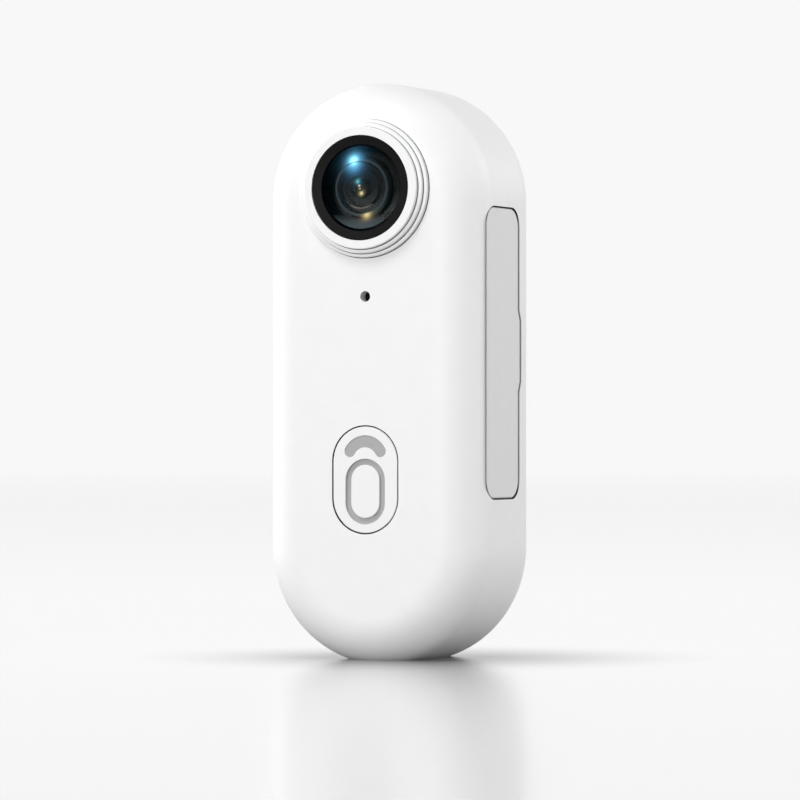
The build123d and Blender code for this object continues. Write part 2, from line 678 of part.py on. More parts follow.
def lens_glass():
    """The five glass elements, from the front."""
    front_radius = FRONT_GLASS_RADIUS
    last_radius = BARREL_EXIT_RADIUS - 2 * FIT
    edges = (
        (GLASS_EDGE, front_radius, GLASS_1_REAR, FRONT_GLASS_REAR_RADIUS),
        (GLASS_2_FRONT, SECOND_GLASS_FRONT_RADIUS, GLASS_2_REAR, SECOND_GLASS_REAR_RADIUS),
        (GLASS_3_FRONT, REAR_GLASS_CLEAR, GLASS_3_REAR, REAR_GLASS_CLEAR),
        (GLASS_4_FRONT, REAR_GLASS_CLEAR, GLASS_4_REAR, REAR_GLASS_CLEAR),
        (GLASS_5_FRONT, REAR_GLASS_CLEAR, GLASS_5_REAR, last_radius),
    )
    radii = (front_radius, SECOND_GLASS_RADIUS) + (REAR_GLASS_RADIUS,) * 3
    elements = {}
    for i, (front, front_curve, rear, rear_curve) in enumerate(edges):
        front_sag, rear_sag = GLASS_SAGS[i]
        shape = glass(radii[i], (front, front_sag, front_curve), (rear, rear_sag, rear_curve))
        elements[f"lens_element_{i + 1}"] = shape
    return elements


def lens_rings():
    """The rings between the glass elements: two stepped ones, the stop and a plain one."""
    wide = SECOND_GLASS_RADIUS + FIT
    front = turned(
        [
            (FRONT_GLASS_REAR_RADIUS, GLASS_1_REAR),
            (FRONT_GLASS_RADIUS, GLASS_1_REAR),
            (FRONT_GLASS_RADIUS, SPACER_1_REAR),
            (wide, SPACER_1_REAR),
            (wide, SPACER_1_REAR - SPACER_CORNER),
            (SECOND_GLASS_FRONT_RADIUS + FIT, SPACER_1_REAR - 1.5 * SPACER_CORNER),
        ]
    )
    rear = turned(
        [
            (REAR_GLASS_CLEAR, GLASS_2_REAR),
            (SECOND_GLASS_RADIUS, GLASS_2_REAR),
            (SECOND_GLASS_RADIUS, SPACER_2_REAR),
            (REAR_GLASS_CLEAR + FIT, SPACER_2_REAR),
            (REAR_GLASS_CLEAR - SPACER_CORNER / 2, SPACER_2_REAR - SPACER_CORNER),
        ]
    )
    rim = REAR_GLASS_CLEAR + 2 * FIT
    seat = SEAT_GAP / 2
    stop_rear = STOP_FRONT + STOP_THICKNESS
    stop = turned(
        [
            (STOP_RADIUS, STOP_FRONT),
            (rim, STOP_FRONT),
            (rim, GLASS_3_REAR + seat),
            (REAR_GLASS_RADIUS, GLASS_3_REAR + seat),
            (REAR_GLASS_RADIUS, GLASS_4_FRONT - seat),
            (rim, GLASS_4_FRONT - seat),
            (rim, stop_rear),
            (STOP_RADIUS + STOP_THICKNESS, stop_rear),
        ]
    )
    return {
        "lens_spacer_front": front,
        "lens_spacer_rear": rear,
        "aperture_stop": stop,
        "lens_spacer_back": ring(rim, REAR_GLASS_RADIUS, GLASS_4_REAR + seat, GLASS_5_FRONT - seat),
    }


def lens_mount():
    """The square holder that carries the barrel in front of the sensor."""
    outline = Pos(0, LENS_HEIGHT) * RectangleRounded(LENS_MOUNT_SIZE, LENS_MOUNT_SIZE, LENS_MOUNT_CORNER)
    flange_front = SENSOR_BOARD_FRONT - LENS_MOUNT_FLANGE
    mount = along_y(outline, flange_front, SENSOR_BOARD_FRONT)
    mount = mount + disc(0, LENS_HEIGHT, BARREL_RADIUS + LENS_MOUNT_WALL, MOUNT_FRONT, flange_front + 1)
    mount = mount + disc(0, LENS_HEIGHT, BEZEL_NECK_RADIUS, MOUNT_FRONT, MOUNT_FRONT + LENS_MOUNT_WALL)
    mount = mount - disc(0, LENS_HEIGHT, BARREL_RADIUS + FIT / 2, MOUNT_FRONT - 1, BARREL_REAR + 2 * FIT)
    mount = mount - disc(0, LENS_HEIGHT, BARREL_EXIT_RADIUS + 0.4, BARREL_REAR, SENSOR_BOARD_FRONT)
    mount = mount - square_plate(SENSOR_CHAMBER_SIZE, SENSOR_BOARD_FRONT - SENSOR_CHAMBER_DEPTH, REAR)
    return mount - screw_holes(SENSOR_SCREWS, flange_front + 0.4, REAR)


def lens_seal():
    """A silicone ring between the bezel's neck and the lens holder."""
    radius = (MOUNT_FRONT - BEZEL_REAR) / 2 - SEAT_GAP
    centre = Pos(BARREL_HEAD_RADIUS + radius + SEAT_GAP, (BEZEL_REAR + MOUNT_FRONT) / 2)
    section = Plane.XY.offset(LENS_HEIGHT) * centre * Circle(radius)
    return revolve(section, Axis((0, 0, LENS_HEIGHT), (0, 1, 0)))


def square_plate(size, front, rear, corner=0.2):
    """A square plate on the lens axis."""
    return along_y(Pos(0, LENS_HEIGHT) * RectangleRounded(size, size, corner), front, rear)


def ir_filter():
    """The filter plate glued to the front of the sensor's chamber."""
    front = SENSOR_BOARD_FRONT - SENSOR_CHAMBER_DEPTH + 2 * SEAT_GAP
    return square_plate(SENSOR_CHAMBER_SIZE - 4 * FIT, front, front + FILTER_THICKNESS)


def image_sensor():
    """The sensor's package on its board."""
    return square_plate(SENSOR_SIZE, SENSOR_BOARD_FRONT - SENSOR_THICKNESS, SENSOR_BOARD_FRONT)


def sensor_board():
    """The round board behind the lens, cut flat where the tray needs the room."""
    board = disc(0, LENS_HEIGHT, SENSOR_BOARD_RADIUS, SENSOR_BOARD_FRONT, SENSOR_BOARD_REAR)
    reach = 2 * SENSOR_BOARD_RADIUS
    board = board & block((-reach, TRAY_BACK - FIT / 2), (0, REAR), (0, LENS_HEIGHT + reach))
    return board - screw_holes(SENSOR_SCREWS, SENSOR_BOARD_FRONT - 1, SENSOR_BOARD_REAR + 1)


def camera_flex():
    """The ribbon from the lens board's back, under it and over the main board."""
    back = SENSOR_BOARD_REAR + FLEX_THICKNESS / 2
    low = LENS_HEIGHT - SENSOR_BOARD_RADIUS - FLEX_SPARE
    gap = (CARD_MIDDLE + SOCKET_THICKNESS / 2 + SENSOR_BOARD_FRONT) / 2
    top = MAIN_BOARD_TOP + FLEX_SPARE
    front = MAIN_BOARD_FRONT - FLEX_THICKNESS / 2
    path = FilletPolyline(
        (back, low + 2 * FLEX_TAIL),
        (back, low),
        (gap, low),
        (gap, top),
        (front, top),
        (front, MAIN_BOARD_TOP - FLEX_TAIL),
        radius=FLEX_BEND,
    )
    return along_x(trace(path, FLEX_THICKNESS), FLEX_LEFT, FLEX_RIGHT)


# Button and microphone


def button_cap():
    """The button's white cap: a skin with two windows, a skirt and a flange."""
    cap = along_y(button_outline(0), FRONT, BUTTON_REAR)
    cap = fillet(cap.faces().sort_by(Axis.Y)[0].edges(), BUTTON_CORNER)
    flange_front = BUTTON_REAR - BUTTON_FLANGE_THICKNESS
    cap = cap + along_y(button_outline(RUNNING_GAP + BUTTON_FLANGE), flange_front, BUTTON_REAR)
    cap = cap - along_y(button_outline(-BUTTON_SIDE_WALL), SKIN_REAR, BUTTON_REAR + 1)
    cap = cap - along_y(key_outline(LIGHT_RING_WIDTH), FRONT - 1, SKIN_REAR + 1)
    return cap - along_y(light_arc(ARC_WIDTH), FRONT - 1, SKIN_REAR + 1)


def button_centre():
    """The raised middle that the finger feels for."""
    key = along_y(key_outline(0), FRONT, SKIN_REAR)
    return fillet(key.faces().sort_by(Axis.Y)[0].edges(), BUTTON_CORNER)


def button_light_guide():
    """The clear piece behind the cap that lights the arch and the ring."""
    plate = along_y(button_outline(-BUTTON_SIDE_WALL - FIT), SKIN_REAR, GUIDE_REAR)
    window = key_outline(LIGHT_RING_WIDTH - SEAT_GAP) - key_outline(SEAT_GAP)
    guide = plate + along_y(window, FRONT + LIGHT_RING_RECESS, SKIN_REAR)
    return guide + along_y(light_arc(ARC_WIDTH - 2 * SEAT_GAP), FRONT + ARC_RECESS, SKIN_REAR)


def button_pad():
    """The soft nub that passes the finger's push on to the switch."""
    nub = disc(0, BUTTON_HEIGHT, SWITCH_KEY_RADIUS + PAD_ROUND, GUIDE_REAR, SWITCH_KEY_FRONT - SEAT_GAP)
    return fillet(nub.edges().sort_by(Axis.Y)[-1], PAD_ROUND)


def main_switch():
    """The switch's case on the front board, and its key."""
    half = SWITCH_SIZE / 2
    z = (BUTTON_HEIGHT - half, BUTTON_HEIGHT + half)
    case = block((-half, half), (SWITCH_FRONT, FRONT_BOARD_FRONT), z)
    case = chamfer(case.edges().filter_by(Axis.Y), SWITCH_CHAMFER)
    floor = FRONT_BOARD_FRONT - SWITCH_FLOOR
    well = disc(0, BUTTON_HEIGHT, SWITCH_KEY_RADIUS + FIT, SWITCH_FRONT - 1, floor)
    key = disc(0, BUTTON_HEIGHT, SWITCH_KEY_RADIUS, SWITCH_KEY_FRONT, SWITCH_FRONT + SWITCH_KEY_STANDOUT)
    return case - well, key


def status_leds():
    """Three small lights: one behind the arch and one on each side of the ring."""
    y = (FRONT_BOARD_FRONT - LED_HEIGHT, FRONT_BOARD_FRONT)
    beside = SWITCH_SIZE / 2 + LED_LENGTH / 2 + LED_GAP
    low = BUTTON_HEIGHT - SWITCH_SIZE / 2 - LED_WIDTH
    places = [(0, ARC_CENTRE_HEIGHT + ARC_RADIUS), (-beside, low), (beside, low)]
    lights = [
        block((x - LED_LENGTH / 2, x + LED_LENGTH / 2), y, (z - LED_WIDTH / 2, z + LED_WIDTH / 2))
        for x, z in places
    ]
    return Compound(lights)


def microphone():
    """The microphone's can, its sealing tube and the mesh behind the hole."""
    front = FRONT_BOARD_FRONT - MIC_CAN_HEIGHT
    mesh_rear = INNER_FRONT + MESH_THICKNESS
    x = (-MIC_CAN_LENGTH / 2, MIC_CAN_LENGTH / 2)
    z = (MIC_HEIGHT - MIC_CAN_WIDTH / 2, MIC_HEIGHT + MIC_CAN_WIDTH / 2)
    can = block(x, (front, FRONT_BOARD_FRONT), z)
    port = disc(0, MIC_HEIGHT, MIC_PORT_RADIUS, front - 1, front + MIC_PORT_RADIUS)
    can = fillet(can.edges().filter_by(Axis.Y), MIC_PORT_RADIUS) - port
    tube = disc(0, MIC_HEIGHT, MIC_TUBE_RADIUS, mesh_rear, front)
    tube = tube - disc(0, MIC_HEIGHT, MIC_HOLE_RADIUS, INNER_FRONT, front + 1)
    mesh = disc(0, MIC_HEIGHT, MIC_MESH_RADIUS, INNER_FRONT, mesh_rear)
    return can, tube, mesh


# Flap and socket tray


def strap_foot(z, grow):
    """The foot of one strap, held in the tray's front wall."""
    half = STRAP_WIDTH / 2 + grow
    x = (TRAY_LANDING - STRAP_FOOT_DEPTH - grow, TRAY_LANDING + grow)
    y = (STRAP_FRONT - grow, STRAP_FRONT + STRAP_FOOT_THICKNESS + grow)
    return block(x, y, (z - half, z + half))


def door_strap():
    """The two soft straps that hold the flap on: each foot and its finger."""
    straps = []
    half = STRAP_WIDTH / 2
    for z in STRAP_HEIGHTS:
        x = (TRAY_LANDING - 2 * FIT, HINGE_X - DOOR_EDGE_ROUND - STRAP_GAP)
        finger = block(x, (STRAP_FRONT, STRAP_FRONT + STRAP_THICKNESS), (z - half, z + half))
        straps.append(strap_foot(z, 0) + finger)
    return Compound(straps)


def side_door():
    """The flap: a flush soft panel with a pull tab, round at its hinge edge."""
    door = along_x(door_outline(), DOOR_INNER_FACE, DOOR_FACE)
    door = fillet(door.faces().sort_by(Axis.X)[-1].edges(), DOOR_EDGE_ROUND)
    half = STRAP_WIDTH / 2 + LAYER_GAP
    for z in STRAP_HEIGHTS:
        y = (DOOR_FRONT - 1, STRAP_FRONT + STRAP_THICKNESS + STRAP_ROOM)
        door = door - block((DOOR_INNER_FACE - 1, HINGE_X - SEAT_GAP), y, (z - half, z + half))
    return door


def door_seal():
    """The rim on the flap's inner face that plugs the tray."""
    outer = tray_outline(SEAL_INSET, SEAL_REAR_INSET)
    inner = tray_outline(SEAL_INSET + SEAL_WIDTH, SEAL_REAR_INSET + SEAL_WIDTH)
    return along_x(outer - inner, DOOR_INNER_FACE - SEAL_HEIGHT, DOOR_INNER_FACE)


def tray_envelope(grow):
    """The tray's outside: its box and the flange behind the shell's wall."""
    flange_back = TRAY_FACE - TRAY_FLANGE_THICKNESS - grow
    flange = along_x(tray_outline(-TRAY_FLANGE - grow), flange_back, TRAY_FACE + grow)
    flange = flange & capsule(WALL + FIT - grow)
    side = TRAY_RIM - TRAY_SIDE_WALL - grow
    return flange + along_x(tray_outline(side), TRAY_BACK - grow, TRAY_LANDING + grow)


def socket_panel():
    """The tray behind the flap, with a mouth for each socket in its floor."""
    tray = tray_envelope(0) - along_x(offset(door_outline(), RUNNING_GAP), TRAY_LANDING, SIDE)
    tray = tray - along_x(tray_outline(TRAY_RIM), TRAY_FLOOR, SIDE)
    through = (TRAY_BACK - 1, TRAY_FLOOR + 1)
    usb_slot = SlotOverall(USB_LENGTH + 2 * FIT, USB_THICKNESS + 2 * FIT, rotation=90)
    usb = Pos(USB_MIDDLE, USB_HEIGHT) * usb_slot
    card = Pos(CARD_MIDDLE, CARD_HEIGHT) * Rectangle(SOCKET_THICKNESS + 2 * FIT, SOCKET_WIDTH + 2 * FIT)
    reset = Pos(RESET_MIDDLE, RESET_HEIGHT) * Circle(RESET_HOLE_RADIUS)
    for mouth in (usb, card, reset):
        tray = tray - along_x(mouth, *through)
    for z in STRAP_HEIGHTS:
        tray = tray - strap_foot(z, FIT)
    return tray


def usb_port():
    """The USB-C receptacle's steel shell on the main board's front, and its tongue."""
    centre = Pos(USB_MIDDLE, USB_HEIGHT)
    outer = centre * SlotOverall(USB_LENGTH, USB_THICKNESS, rotation=90)
    inner = centre * SlotOverall(USB_LENGTH - 2 * USB_WALL, USB_THICKNESS - 2 * USB_WALL, rotation=90)
    back = USB_END + USB_BACK_WALL
    shell = along_x(outer, USB_END, TRAY_FLOOR) - along_x(inner, back, TRAY_FLOOR + 1)
    tongue = centre * RectangleRounded(USB_TONGUE_THICKNESS, USB_TONGUE_LENGTH, KEY_CORNER)
    return shell, along_x(tongue, back, TRAY_FLOOR - USB_TONGUE_INSET)


def card_slot():
    """The push-push card socket's shell on the main board's rear."""
    depth = CARD_LENGTH - CARD_STANDOUT + CARD_PUSH + SOCKET_END_WALL + SOCKET_ROOM
    y = (MAIN_BOARD_REAR, MAIN_BOARD_REAR + SOCKET_THICKNESS)
    z = (CARD_HEIGHT - SOCKET_WIDTH / 2, CARD_HEIGHT + SOCKET_WIDTH / 2)
    half_slot = (CARD_THICKNESS + CARD_LIP + SOCKET_ROOM) / 2
    half_width = (CARD_WIDTH + SOCKET_ROOM) / 2
    slot = block(
        (TRAY_FLOOR - depth + SOCKET_END_WALL, TRAY_FLOOR + 1),
        (CARD_MIDDLE - half_slot, CARD_MIDDLE + half_slot),
        (CARD_HEIGHT - half_width, CARD_HEIGHT + half_width),
    )
    return block((TRAY_FLOOR - depth, TRAY_FLOOR), y, z) - slot


def memory_card():
    """A microSD card: the body with its clipped corner and the raised outer lip."""
    outer = TRAY_FLOOR + CARD_STANDOUT
    inner = outer - CARD_LENGTH
    half = CARD_WIDTH / 2
    outline = Polyline(
        (inner, -half),
        (outer, -half),
        (outer, half),
        (inner + CARD_STEP_START, half),
        (inner + CARD_STEP_START - CARD_STEP, half - CARD_STEP),
        (inner, half - CARD_STEP),
        close=True,
    )
    front = CARD_MIDDLE - (CARD_THICKNESS + CARD_LIP) / 2
    rear = front + CARD_THICKNESS
    body = along_y(Pos(0, CARD_HEIGHT) * make_face(outline), front, rear)
    z = (CARD_HEIGHT - half + CARD_LIP_INSET, CARD_HEIGHT + half - CARD_LIP_INSET)
    return body + block((outer - CARD_LIP_WIDTH, outer), (rear - FIT, rear + CARD_LIP), z)


def reset_switch():
    """A side-push switch behind the pin hole, and its key."""
    face = TRAY_BACK - MAIN_BOARD_SIDE_GAP
    y = (RESET_MIDDLE - RESET_KEY_WIDTH, MAIN_BOARD_FRONT)
    z = (RESET_HEIGHT - RESET_CASE_WIDTH / 2, RESET_HEIGHT + RESET_CASE_WIDTH / 2)
    centre = Pos(RESET_MIDDLE, RESET_HEIGHT)
    bore = centre * RectangleRounded(RESET_KEY_WIDTH + 2 * FIT, RESET_KEY_HEIGHT + 2 * FIT, KEY_CORNER)
    key = centre * RectangleRounded(RESET_KEY_WIDTH, RESET_KEY_HEIGHT, KEY_CORNER)
    case = block((face - RESET_CASE_LENGTH, face), y, z) - along_x(bore, face - RESET_BORE_DEPTH, face + 1)
    return case, along_x(key, face - RESET_KEY_DEPTH, face + RESET_KEY_STANDOUT)


# Boards and what they carry


def front_board():
    """The narrow board behind the front, for the switch, lights and microphone."""
    middle = (FRONT_BOARD_BOTTOM + FRONT_BOARD_TOP) / 2
    height = FRONT_BOARD_TOP - FRONT_BOARD_BOTTOM
    outline = Pos(0, middle) * RectangleRounded(FRONT_BOARD_WIDTH, height, FRONT_BOARD_CORNER)
    board = along_y(outline, FRONT_BOARD_FRONT, FRONT_BOARD_REAR)
    return board - screw_holes(FRONT_SCREWS, FRONT_BOARD_FRONT - 1, FRONT_BOARD_REAR + 1)


def main_board():
    """The main board, with its lower corners cut off where the body narrows."""
    corner = MAIN_BOARD_CORNER
    outline = Polyline(
        (MAIN_BOARD_LEFT, MAIN_BOARD_TOP),
        (MAIN_BOARD_RIGHT, MAIN_BOARD_TOP),
        (MAIN_BOARD_RIGHT, MAIN_BOARD_BOTTOM + corner),
        (MAIN_BOARD_RIGHT - corner, MAIN_BOARD_BOTTOM),
        (MAIN_BOARD_LEFT + corner, MAIN_BOARD_BOTTOM),
        (MAIN_BOARD_LEFT, MAIN_BOARD_BOTTOM + corner),
        close=True,
    )
    board = along_y(make_face(outline), MAIN_BOARD_FRONT, MAIN_BOARD_REAR)
    return board - screw_holes(MAIN_SCREWS, MAIN_BOARD_FRONT - 1, MAIN_BOARD_REAR + 1)


def processor_group():
    """The processor, its shield can, the pad on it and the heat spreader."""
    x = (MAIN_BOARD_LEFT + PROCESSOR_GAP, USB_END - PROCESSOR_GAP)
    z = (PROCESSOR_BOTTOM, PROCESSOR_TOP)
    front = MAIN_BOARD_FRONT
    lid = front - SHIELD_HEIGHT
    pad_front = lid - PAD_THICKNESS
    spreader_y = (pad_front - PAD_THICKNESS, pad_front)
    spreader_z = (z[0] - SPREADER_TAIL, z[1] + 1)

    def grown(axis, amount):
        return (axis[0] - amount, axis[1] + amount)

    room = SHIELD_MARGIN - SHIELD_WALL
    can = block(grown(x, SHIELD_MARGIN), (lid, front), grown(z, SHIELD_MARGIN))
    can = can - block(grown(x, room), (lid + SHIELD_WALL, front + 1), grown(z, room))
    return {
        "processor": block(x, (front - PROCESSOR_HEIGHT, front), z),
        "shield_can": can,
        "thermal_pad": block(grown(x, -1), (pad_front, lid), grown(z, -1)),
        "heat_spreader": block(grown(x, SPREADER_MARGIN), spreader_y, spreader_z),
    }


def memory_chips():
    """The other large chips on the main board's front."""
    y = (MAIN_BOARD_FRONT - CHIP_HEIGHT, MAIN_BOARD_FRONT)
    left = MAIN_BOARD_LEFT + CHIP_SIDE_GAP
    right = USB_END + CHIP_USB_GAP
    memory = block((left, left + MEMORY_WIDTH), y, (MEMORY_BOTTOM, MEMORY_BOTTOM + MEMORY_LENGTH))
    radio_bottom = MEMORY_BOTTOM + MEMORY_LENGTH + CHIP_GAP
    inner = left + MEMORY_WIDTH
    radio = block((inner - RADIO_SIZE, inner), y, (radio_bottom, radio_bottom + RADIO_SIZE))
    power = block((right, right + POWER_SIZE), y, (POWER_BOTTOM, POWER_BOTTOM + POWER_SIZE))
    return Compound([memory, radio, power])


def board_header():
    """The stacked connector between the front board and the main board."""
    middle = (FRONT_BOARD_REAR + MAIN_BOARD_FRONT) / 2
    right = TRAY_BACK - MAIN_BOARD_SIDE_GAP - RESET_CASE_LENGTH - HEADER_GAP
    left = right - HEADER_WIDTH
    lower = block((left, right), (middle, MAIN_BOARD_FRONT), (HEADER_BOTTOM, HEADER_TOP))
    upper_x = (left + HEADER_STEP, right - HEADER_STEP)
    upper_z = (HEADER_BOTTOM + HEADER_STEP, HEADER_TOP - HEADER_STEP)
    return lower + block(upper_x, (FRONT_BOARD_REAR, middle), upper_z)


def wifi_antenna():
    """The antenna strip that follows the round top of the front shell."""
    middle = INNER_SIDE - FIT - ANTENNA_THICKNESS / 2
    arc = CenterArc((0, HIGH_END), middle, 90 - ANTENNA_HALF_ANGLE, 2 * ANTENNA_HALF_ANGLE)
    return along_y(trace(arc, ANTENNA_THICKNESS), ANTENNA_FRONT, ANTENNA_REAR)


# Cell and frame


def battery():
    """The pouch cell, with rounded long edges."""
    cell = block((-CELL_SIDE, CELL_SIDE), (CELL_FRONT, CELL_REAR), (CELL_BOTTOM, CELL_TOP))
    return fillet(cell.edges().filter_by(Axis.Z), CELL_EDGE_ROUND)


def battery_connector():
    """The cell's plug at the foot of the main board."""
    half = PLUG_WIDTH / 2
    y = (MAIN_BOARD_FRONT - PLUG_HEIGHT, MAIN_BOARD_FRONT)
    body = block((-half, half), y, (PLUG_BOTTOM, PLUG_BOTTOM + PLUG_LENGTH))
    return chamfer(body.edges().filter_by(Axis.Z), PLUG_CHAMFER)


def battery_leads():
    """Two wires from the cell's foot, under the main board and up to the plug."""
    cell_middle = (CELL_FRONT + CELL_REAR) / 2
    plug_middle = MAIN_BOARD_FRONT - PLUG_HEIGHT / 2
    low = MAIN_BOARD_BOTTOM - LEAD_DROP
    leads = []
    for x in (-2 * LEAD_RADIUS, 2 * LEAD_RADIUS):
        path = FilletPolyline(
            (x, cell_middle, CELL_BOTTOM),
            (x, cell_middle, low),
            (x, plug_middle, low),
            (x, plug_middle, PLUG_BOTTOM),
            radius=LEAD_BEND,
        )
        section = Plane(origin=path @ 0, z_dir=path % 0) * Circle(LEAD_RADIUS)
        leads.append(sweep(section, path))
    return Compound(leads)


def battery_foam():
    """The sticky pads between the cell and the frame."""
    half = CELL_SIDE - FOAM_INSET
    y = (FRAME_REAR, CELL_FRONT)
    starts = (CELL_BOTTOM + FOAM_INSET, CELL_TOP - FOAM_INSET - FOAM_LENGTH)
    return Compound([block((-half, half), y, (z, z + FOAM_LENGTH)) for z in starts])


def mid_frame():
    """The inner frame: a plate with rails that hold the cell and posts for the board."""
    rail = CELL_SIDE + 2 * FIT
    rail_rear = SPLIT - LIP_HEIGHT - FIT
    frame = block((-FRAME_SIDE, FRAME_SIDE), (FRAME_FRONT, FRAME_REAR), (FRAME_BOTTOM, FRAME_TOP))
    rails = block((-FRAME_SIDE, FRAME_SIDE), (FRAME_REAR, rail_rear), (CELL_BOTTOM + 2, CELL_TOP - 2))
    frame = frame + (rails - block((-rail, rail), (0, REAR), (0, BODY_HEIGHT)))
    for x, z in MAIN_SCREWS:
        frame = frame + disc(x, z, BOSS_RADIUS, MAIN_BOARD_REAR, FRAME_FRONT + FIT)
    flex_notch = block(FLEX_SPAN, (0, REAR), (CELL_TOP + FLEX_ROOM, HIGH_END))
    window_z = (CELL_BOTTOM + FRAME_WINDOW_END, CELL_TOP - FRAME_WINDOW_END)
    window = block((-FRAME_WINDOW_SIDE, FRAME_WINDOW_SIDE), (0, REAR), window_z)
    frame = frame - flex_notch - window - tray_envelope(FIT)
    frame = frame - screw_holes(MAIN_SCREWS, MAIN_BOARD_REAR - 1, FRAME_REAR + 1)
    return frame & capsule(WALL + 2 * FIT)


def board_screws():
    """Every screw inside: front board, main board and lens board."""
    screws = [screw(x, z, FRONT_BOARD_REAR, 1) for x, z in FRONT_SCREWS]
    screws += [screw(x, z, MAIN_BOARD_FRONT, -1) for x, z in MAIN_SCREWS]
    screws += [screw(x, z, SENSOR_BOARD_REAR, 1) for x, z in SENSOR_SCREWS]
    return Compound(screws)


def build():
    """Every piece by name."""
    usb_shell, usb_tongue = usb_port()
    reset_case, reset_key = reset_switch()
    switch_case, switch_key = main_switch()
    mic_can, mic_tube, mic_mesh = microphone()
    parts = {
        "front_shell": front_shell(),
        "rear_shell": rear_shell(),
        "rear_magnets": rear_magnets(),
        "lens_bezel": lens_bezel(),
        "lens_retaining_ring": lens_retaining_ring(),
        "lens_barrel": lens_barrel(),
        "lens_mount": lens_mount(),
        "lens_seal": lens_seal(),
        "ir_filter": ir_filter(),
        "image_sensor": image_sensor(),
        "sensor_board": sensor_board(),
        "camera_flex": camera_flex(),
        "front_board": front_board(),
        "main_board": main_board(),
        "usb_port": usb_shell,
        "usb_tongue": usb_tongue,
        "card_slot": card_slot(),
        "memory_card": memory_card(),
        "reset_switch": reset_case,
        "reset_plunger": reset_key,
        "socket_panel": socket_panel(),
        "door_strap": door_strap(),
        "side_door": side_door(),
        "door_seal": door_seal(),
        "button_cap": button_cap(),
        "button_centre": button_centre(),
        "button_light_guide": button_light_guide(),
        "button_pad": button_pad(),
        "tact_switch": switch_case,
        "tact_plunger": switch_key,
        "status_leds": status_leds(),
        "microphone": mic_can,
        "mic_gasket": mic_tube,
        "mic_mesh": mic_mesh,
        "memory_chips": memory_chips(),
        "board_header": board_header(),
        "battery_connector": battery_connector(),
        "battery": battery(),
        "battery_leads": battery_leads(),
        "battery_foam": battery_foam(),
        "mid_frame": mid_frame(),
        "wifi_antenna": wifi_antenna(),
        "board_screws": board_screws(),
    }
    return parts | lens_glass() | lens_rings() | processor_group()


os.makedirs("parts", exist_ok=True)
for name, shape in build().items():
    export_step(shape, f"parts/{name}.step")
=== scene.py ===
import bmesh
import bpy
import math
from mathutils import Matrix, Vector

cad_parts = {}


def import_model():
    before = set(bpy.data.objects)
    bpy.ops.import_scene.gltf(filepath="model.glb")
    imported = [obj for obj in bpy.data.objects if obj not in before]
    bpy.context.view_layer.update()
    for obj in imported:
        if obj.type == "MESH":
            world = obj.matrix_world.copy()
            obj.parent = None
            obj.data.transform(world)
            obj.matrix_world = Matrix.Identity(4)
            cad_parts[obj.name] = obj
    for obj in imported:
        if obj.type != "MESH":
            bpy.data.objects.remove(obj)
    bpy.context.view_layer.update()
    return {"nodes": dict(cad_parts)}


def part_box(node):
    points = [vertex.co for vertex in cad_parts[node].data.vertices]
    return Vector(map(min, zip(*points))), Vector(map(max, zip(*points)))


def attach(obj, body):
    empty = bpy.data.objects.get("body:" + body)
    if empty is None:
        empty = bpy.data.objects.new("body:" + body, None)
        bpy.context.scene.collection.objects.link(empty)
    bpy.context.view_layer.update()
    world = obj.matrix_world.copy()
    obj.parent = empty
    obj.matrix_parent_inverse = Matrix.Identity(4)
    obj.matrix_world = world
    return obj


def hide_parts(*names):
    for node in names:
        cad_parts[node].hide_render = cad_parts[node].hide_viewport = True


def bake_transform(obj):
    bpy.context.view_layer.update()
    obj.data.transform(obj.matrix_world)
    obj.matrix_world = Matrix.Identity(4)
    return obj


# The looks of a thumb-size camera: a material for every CAD node, and the small
# parts made here: beads in the gaps, partly seals and partly painted shade, soft flap
# straps, socket contacts, dark lines of painted shade in the lens ring's grooves, a dark
# line at the seam, and lens coatings.
# Sizes are in millimetres where nothing else is said, in the CAD's frame: +Z up,
# the lens looks along -Y, and the flap is on +X.

MM = 0.001

# The casing's front and side, and the height of the lens axis
FRONT_FACE = -9.2
SIDE_FACE = 12.4
LENS_HEIGHT = 49.72

# The button's outline as X and Z
BUTTON_LOW = (-3.68, 13.435)
BUTTON_HIGH = (3.68, 24.665)
BUTTON_CORNER = BUTTON_HIGH[0]

# The outline of the flap and its pull tab as Y and Z. The flap's hinge is at the end
# where Y is below HINGE_SIDE.
FLAP_LOW = (-5.62, 17.06)
FLAP_HIGH = (3.3, 47.77)
FLAP_CORNER = 2.0
FLAP_MIDDLE = (FLAP_LOW[1] + FLAP_HIGH[1]) / 2
TAB = ((3.3, 28.35), (3.8, 29.4), (3.8, 35.95), (3.3, 37.0))
HINGE_SIDE = -5.0

# The beads in the gaps, partly seals and partly painted shade: offsets from the outline, and the room
# beside the hinge
RUNNING_GAP = 0.13
BEAD_INNER = 0.015
BEAD_OUTER = RUNNING_GAP - 0.002
BEAD_BEVEL = 0.02
HINGE_ROOM = 0.066

# The seam of the back cover as X and Z, its place in Y, and its profile as offsets
# and depths
SEAM_LOW = (-11.757, 0.043)
SEAM_HIGH = (11.757, 60.357)
SEAM_CORNER = SEAM_HIGH[0]
SEAM_Y = 6.8
SEAM_PROFILE = ((-0.05, -0.02), (0.002, -0.02), (0.002, 0.02), (-0.05, 0.02))

# The flap's straps: heights, faces in Y, ends and bend in X, and how much they thin
# and narrow there and how near to it
STRAP_HEIGHTS = (FLAP_MIDDLE - 8.0, FLAP_MIDDLE + 8.0)
STRAP_Y = (-5.5, -5.14)
STRAP_HALF = 2.0
STRAP_CORNER = 0.1
STRAP_ENDS = (9.86, 12.06)
STRAP_STEPS = 24
STRAP_ROOT = 10.95
STRAP_ROOT_EXTRA = 0.1
STRAP_BEND = 11.55
STRAP_THINNING = (0.09, 0.28)
STRAP_NARROWING = (0.15, 0.4)

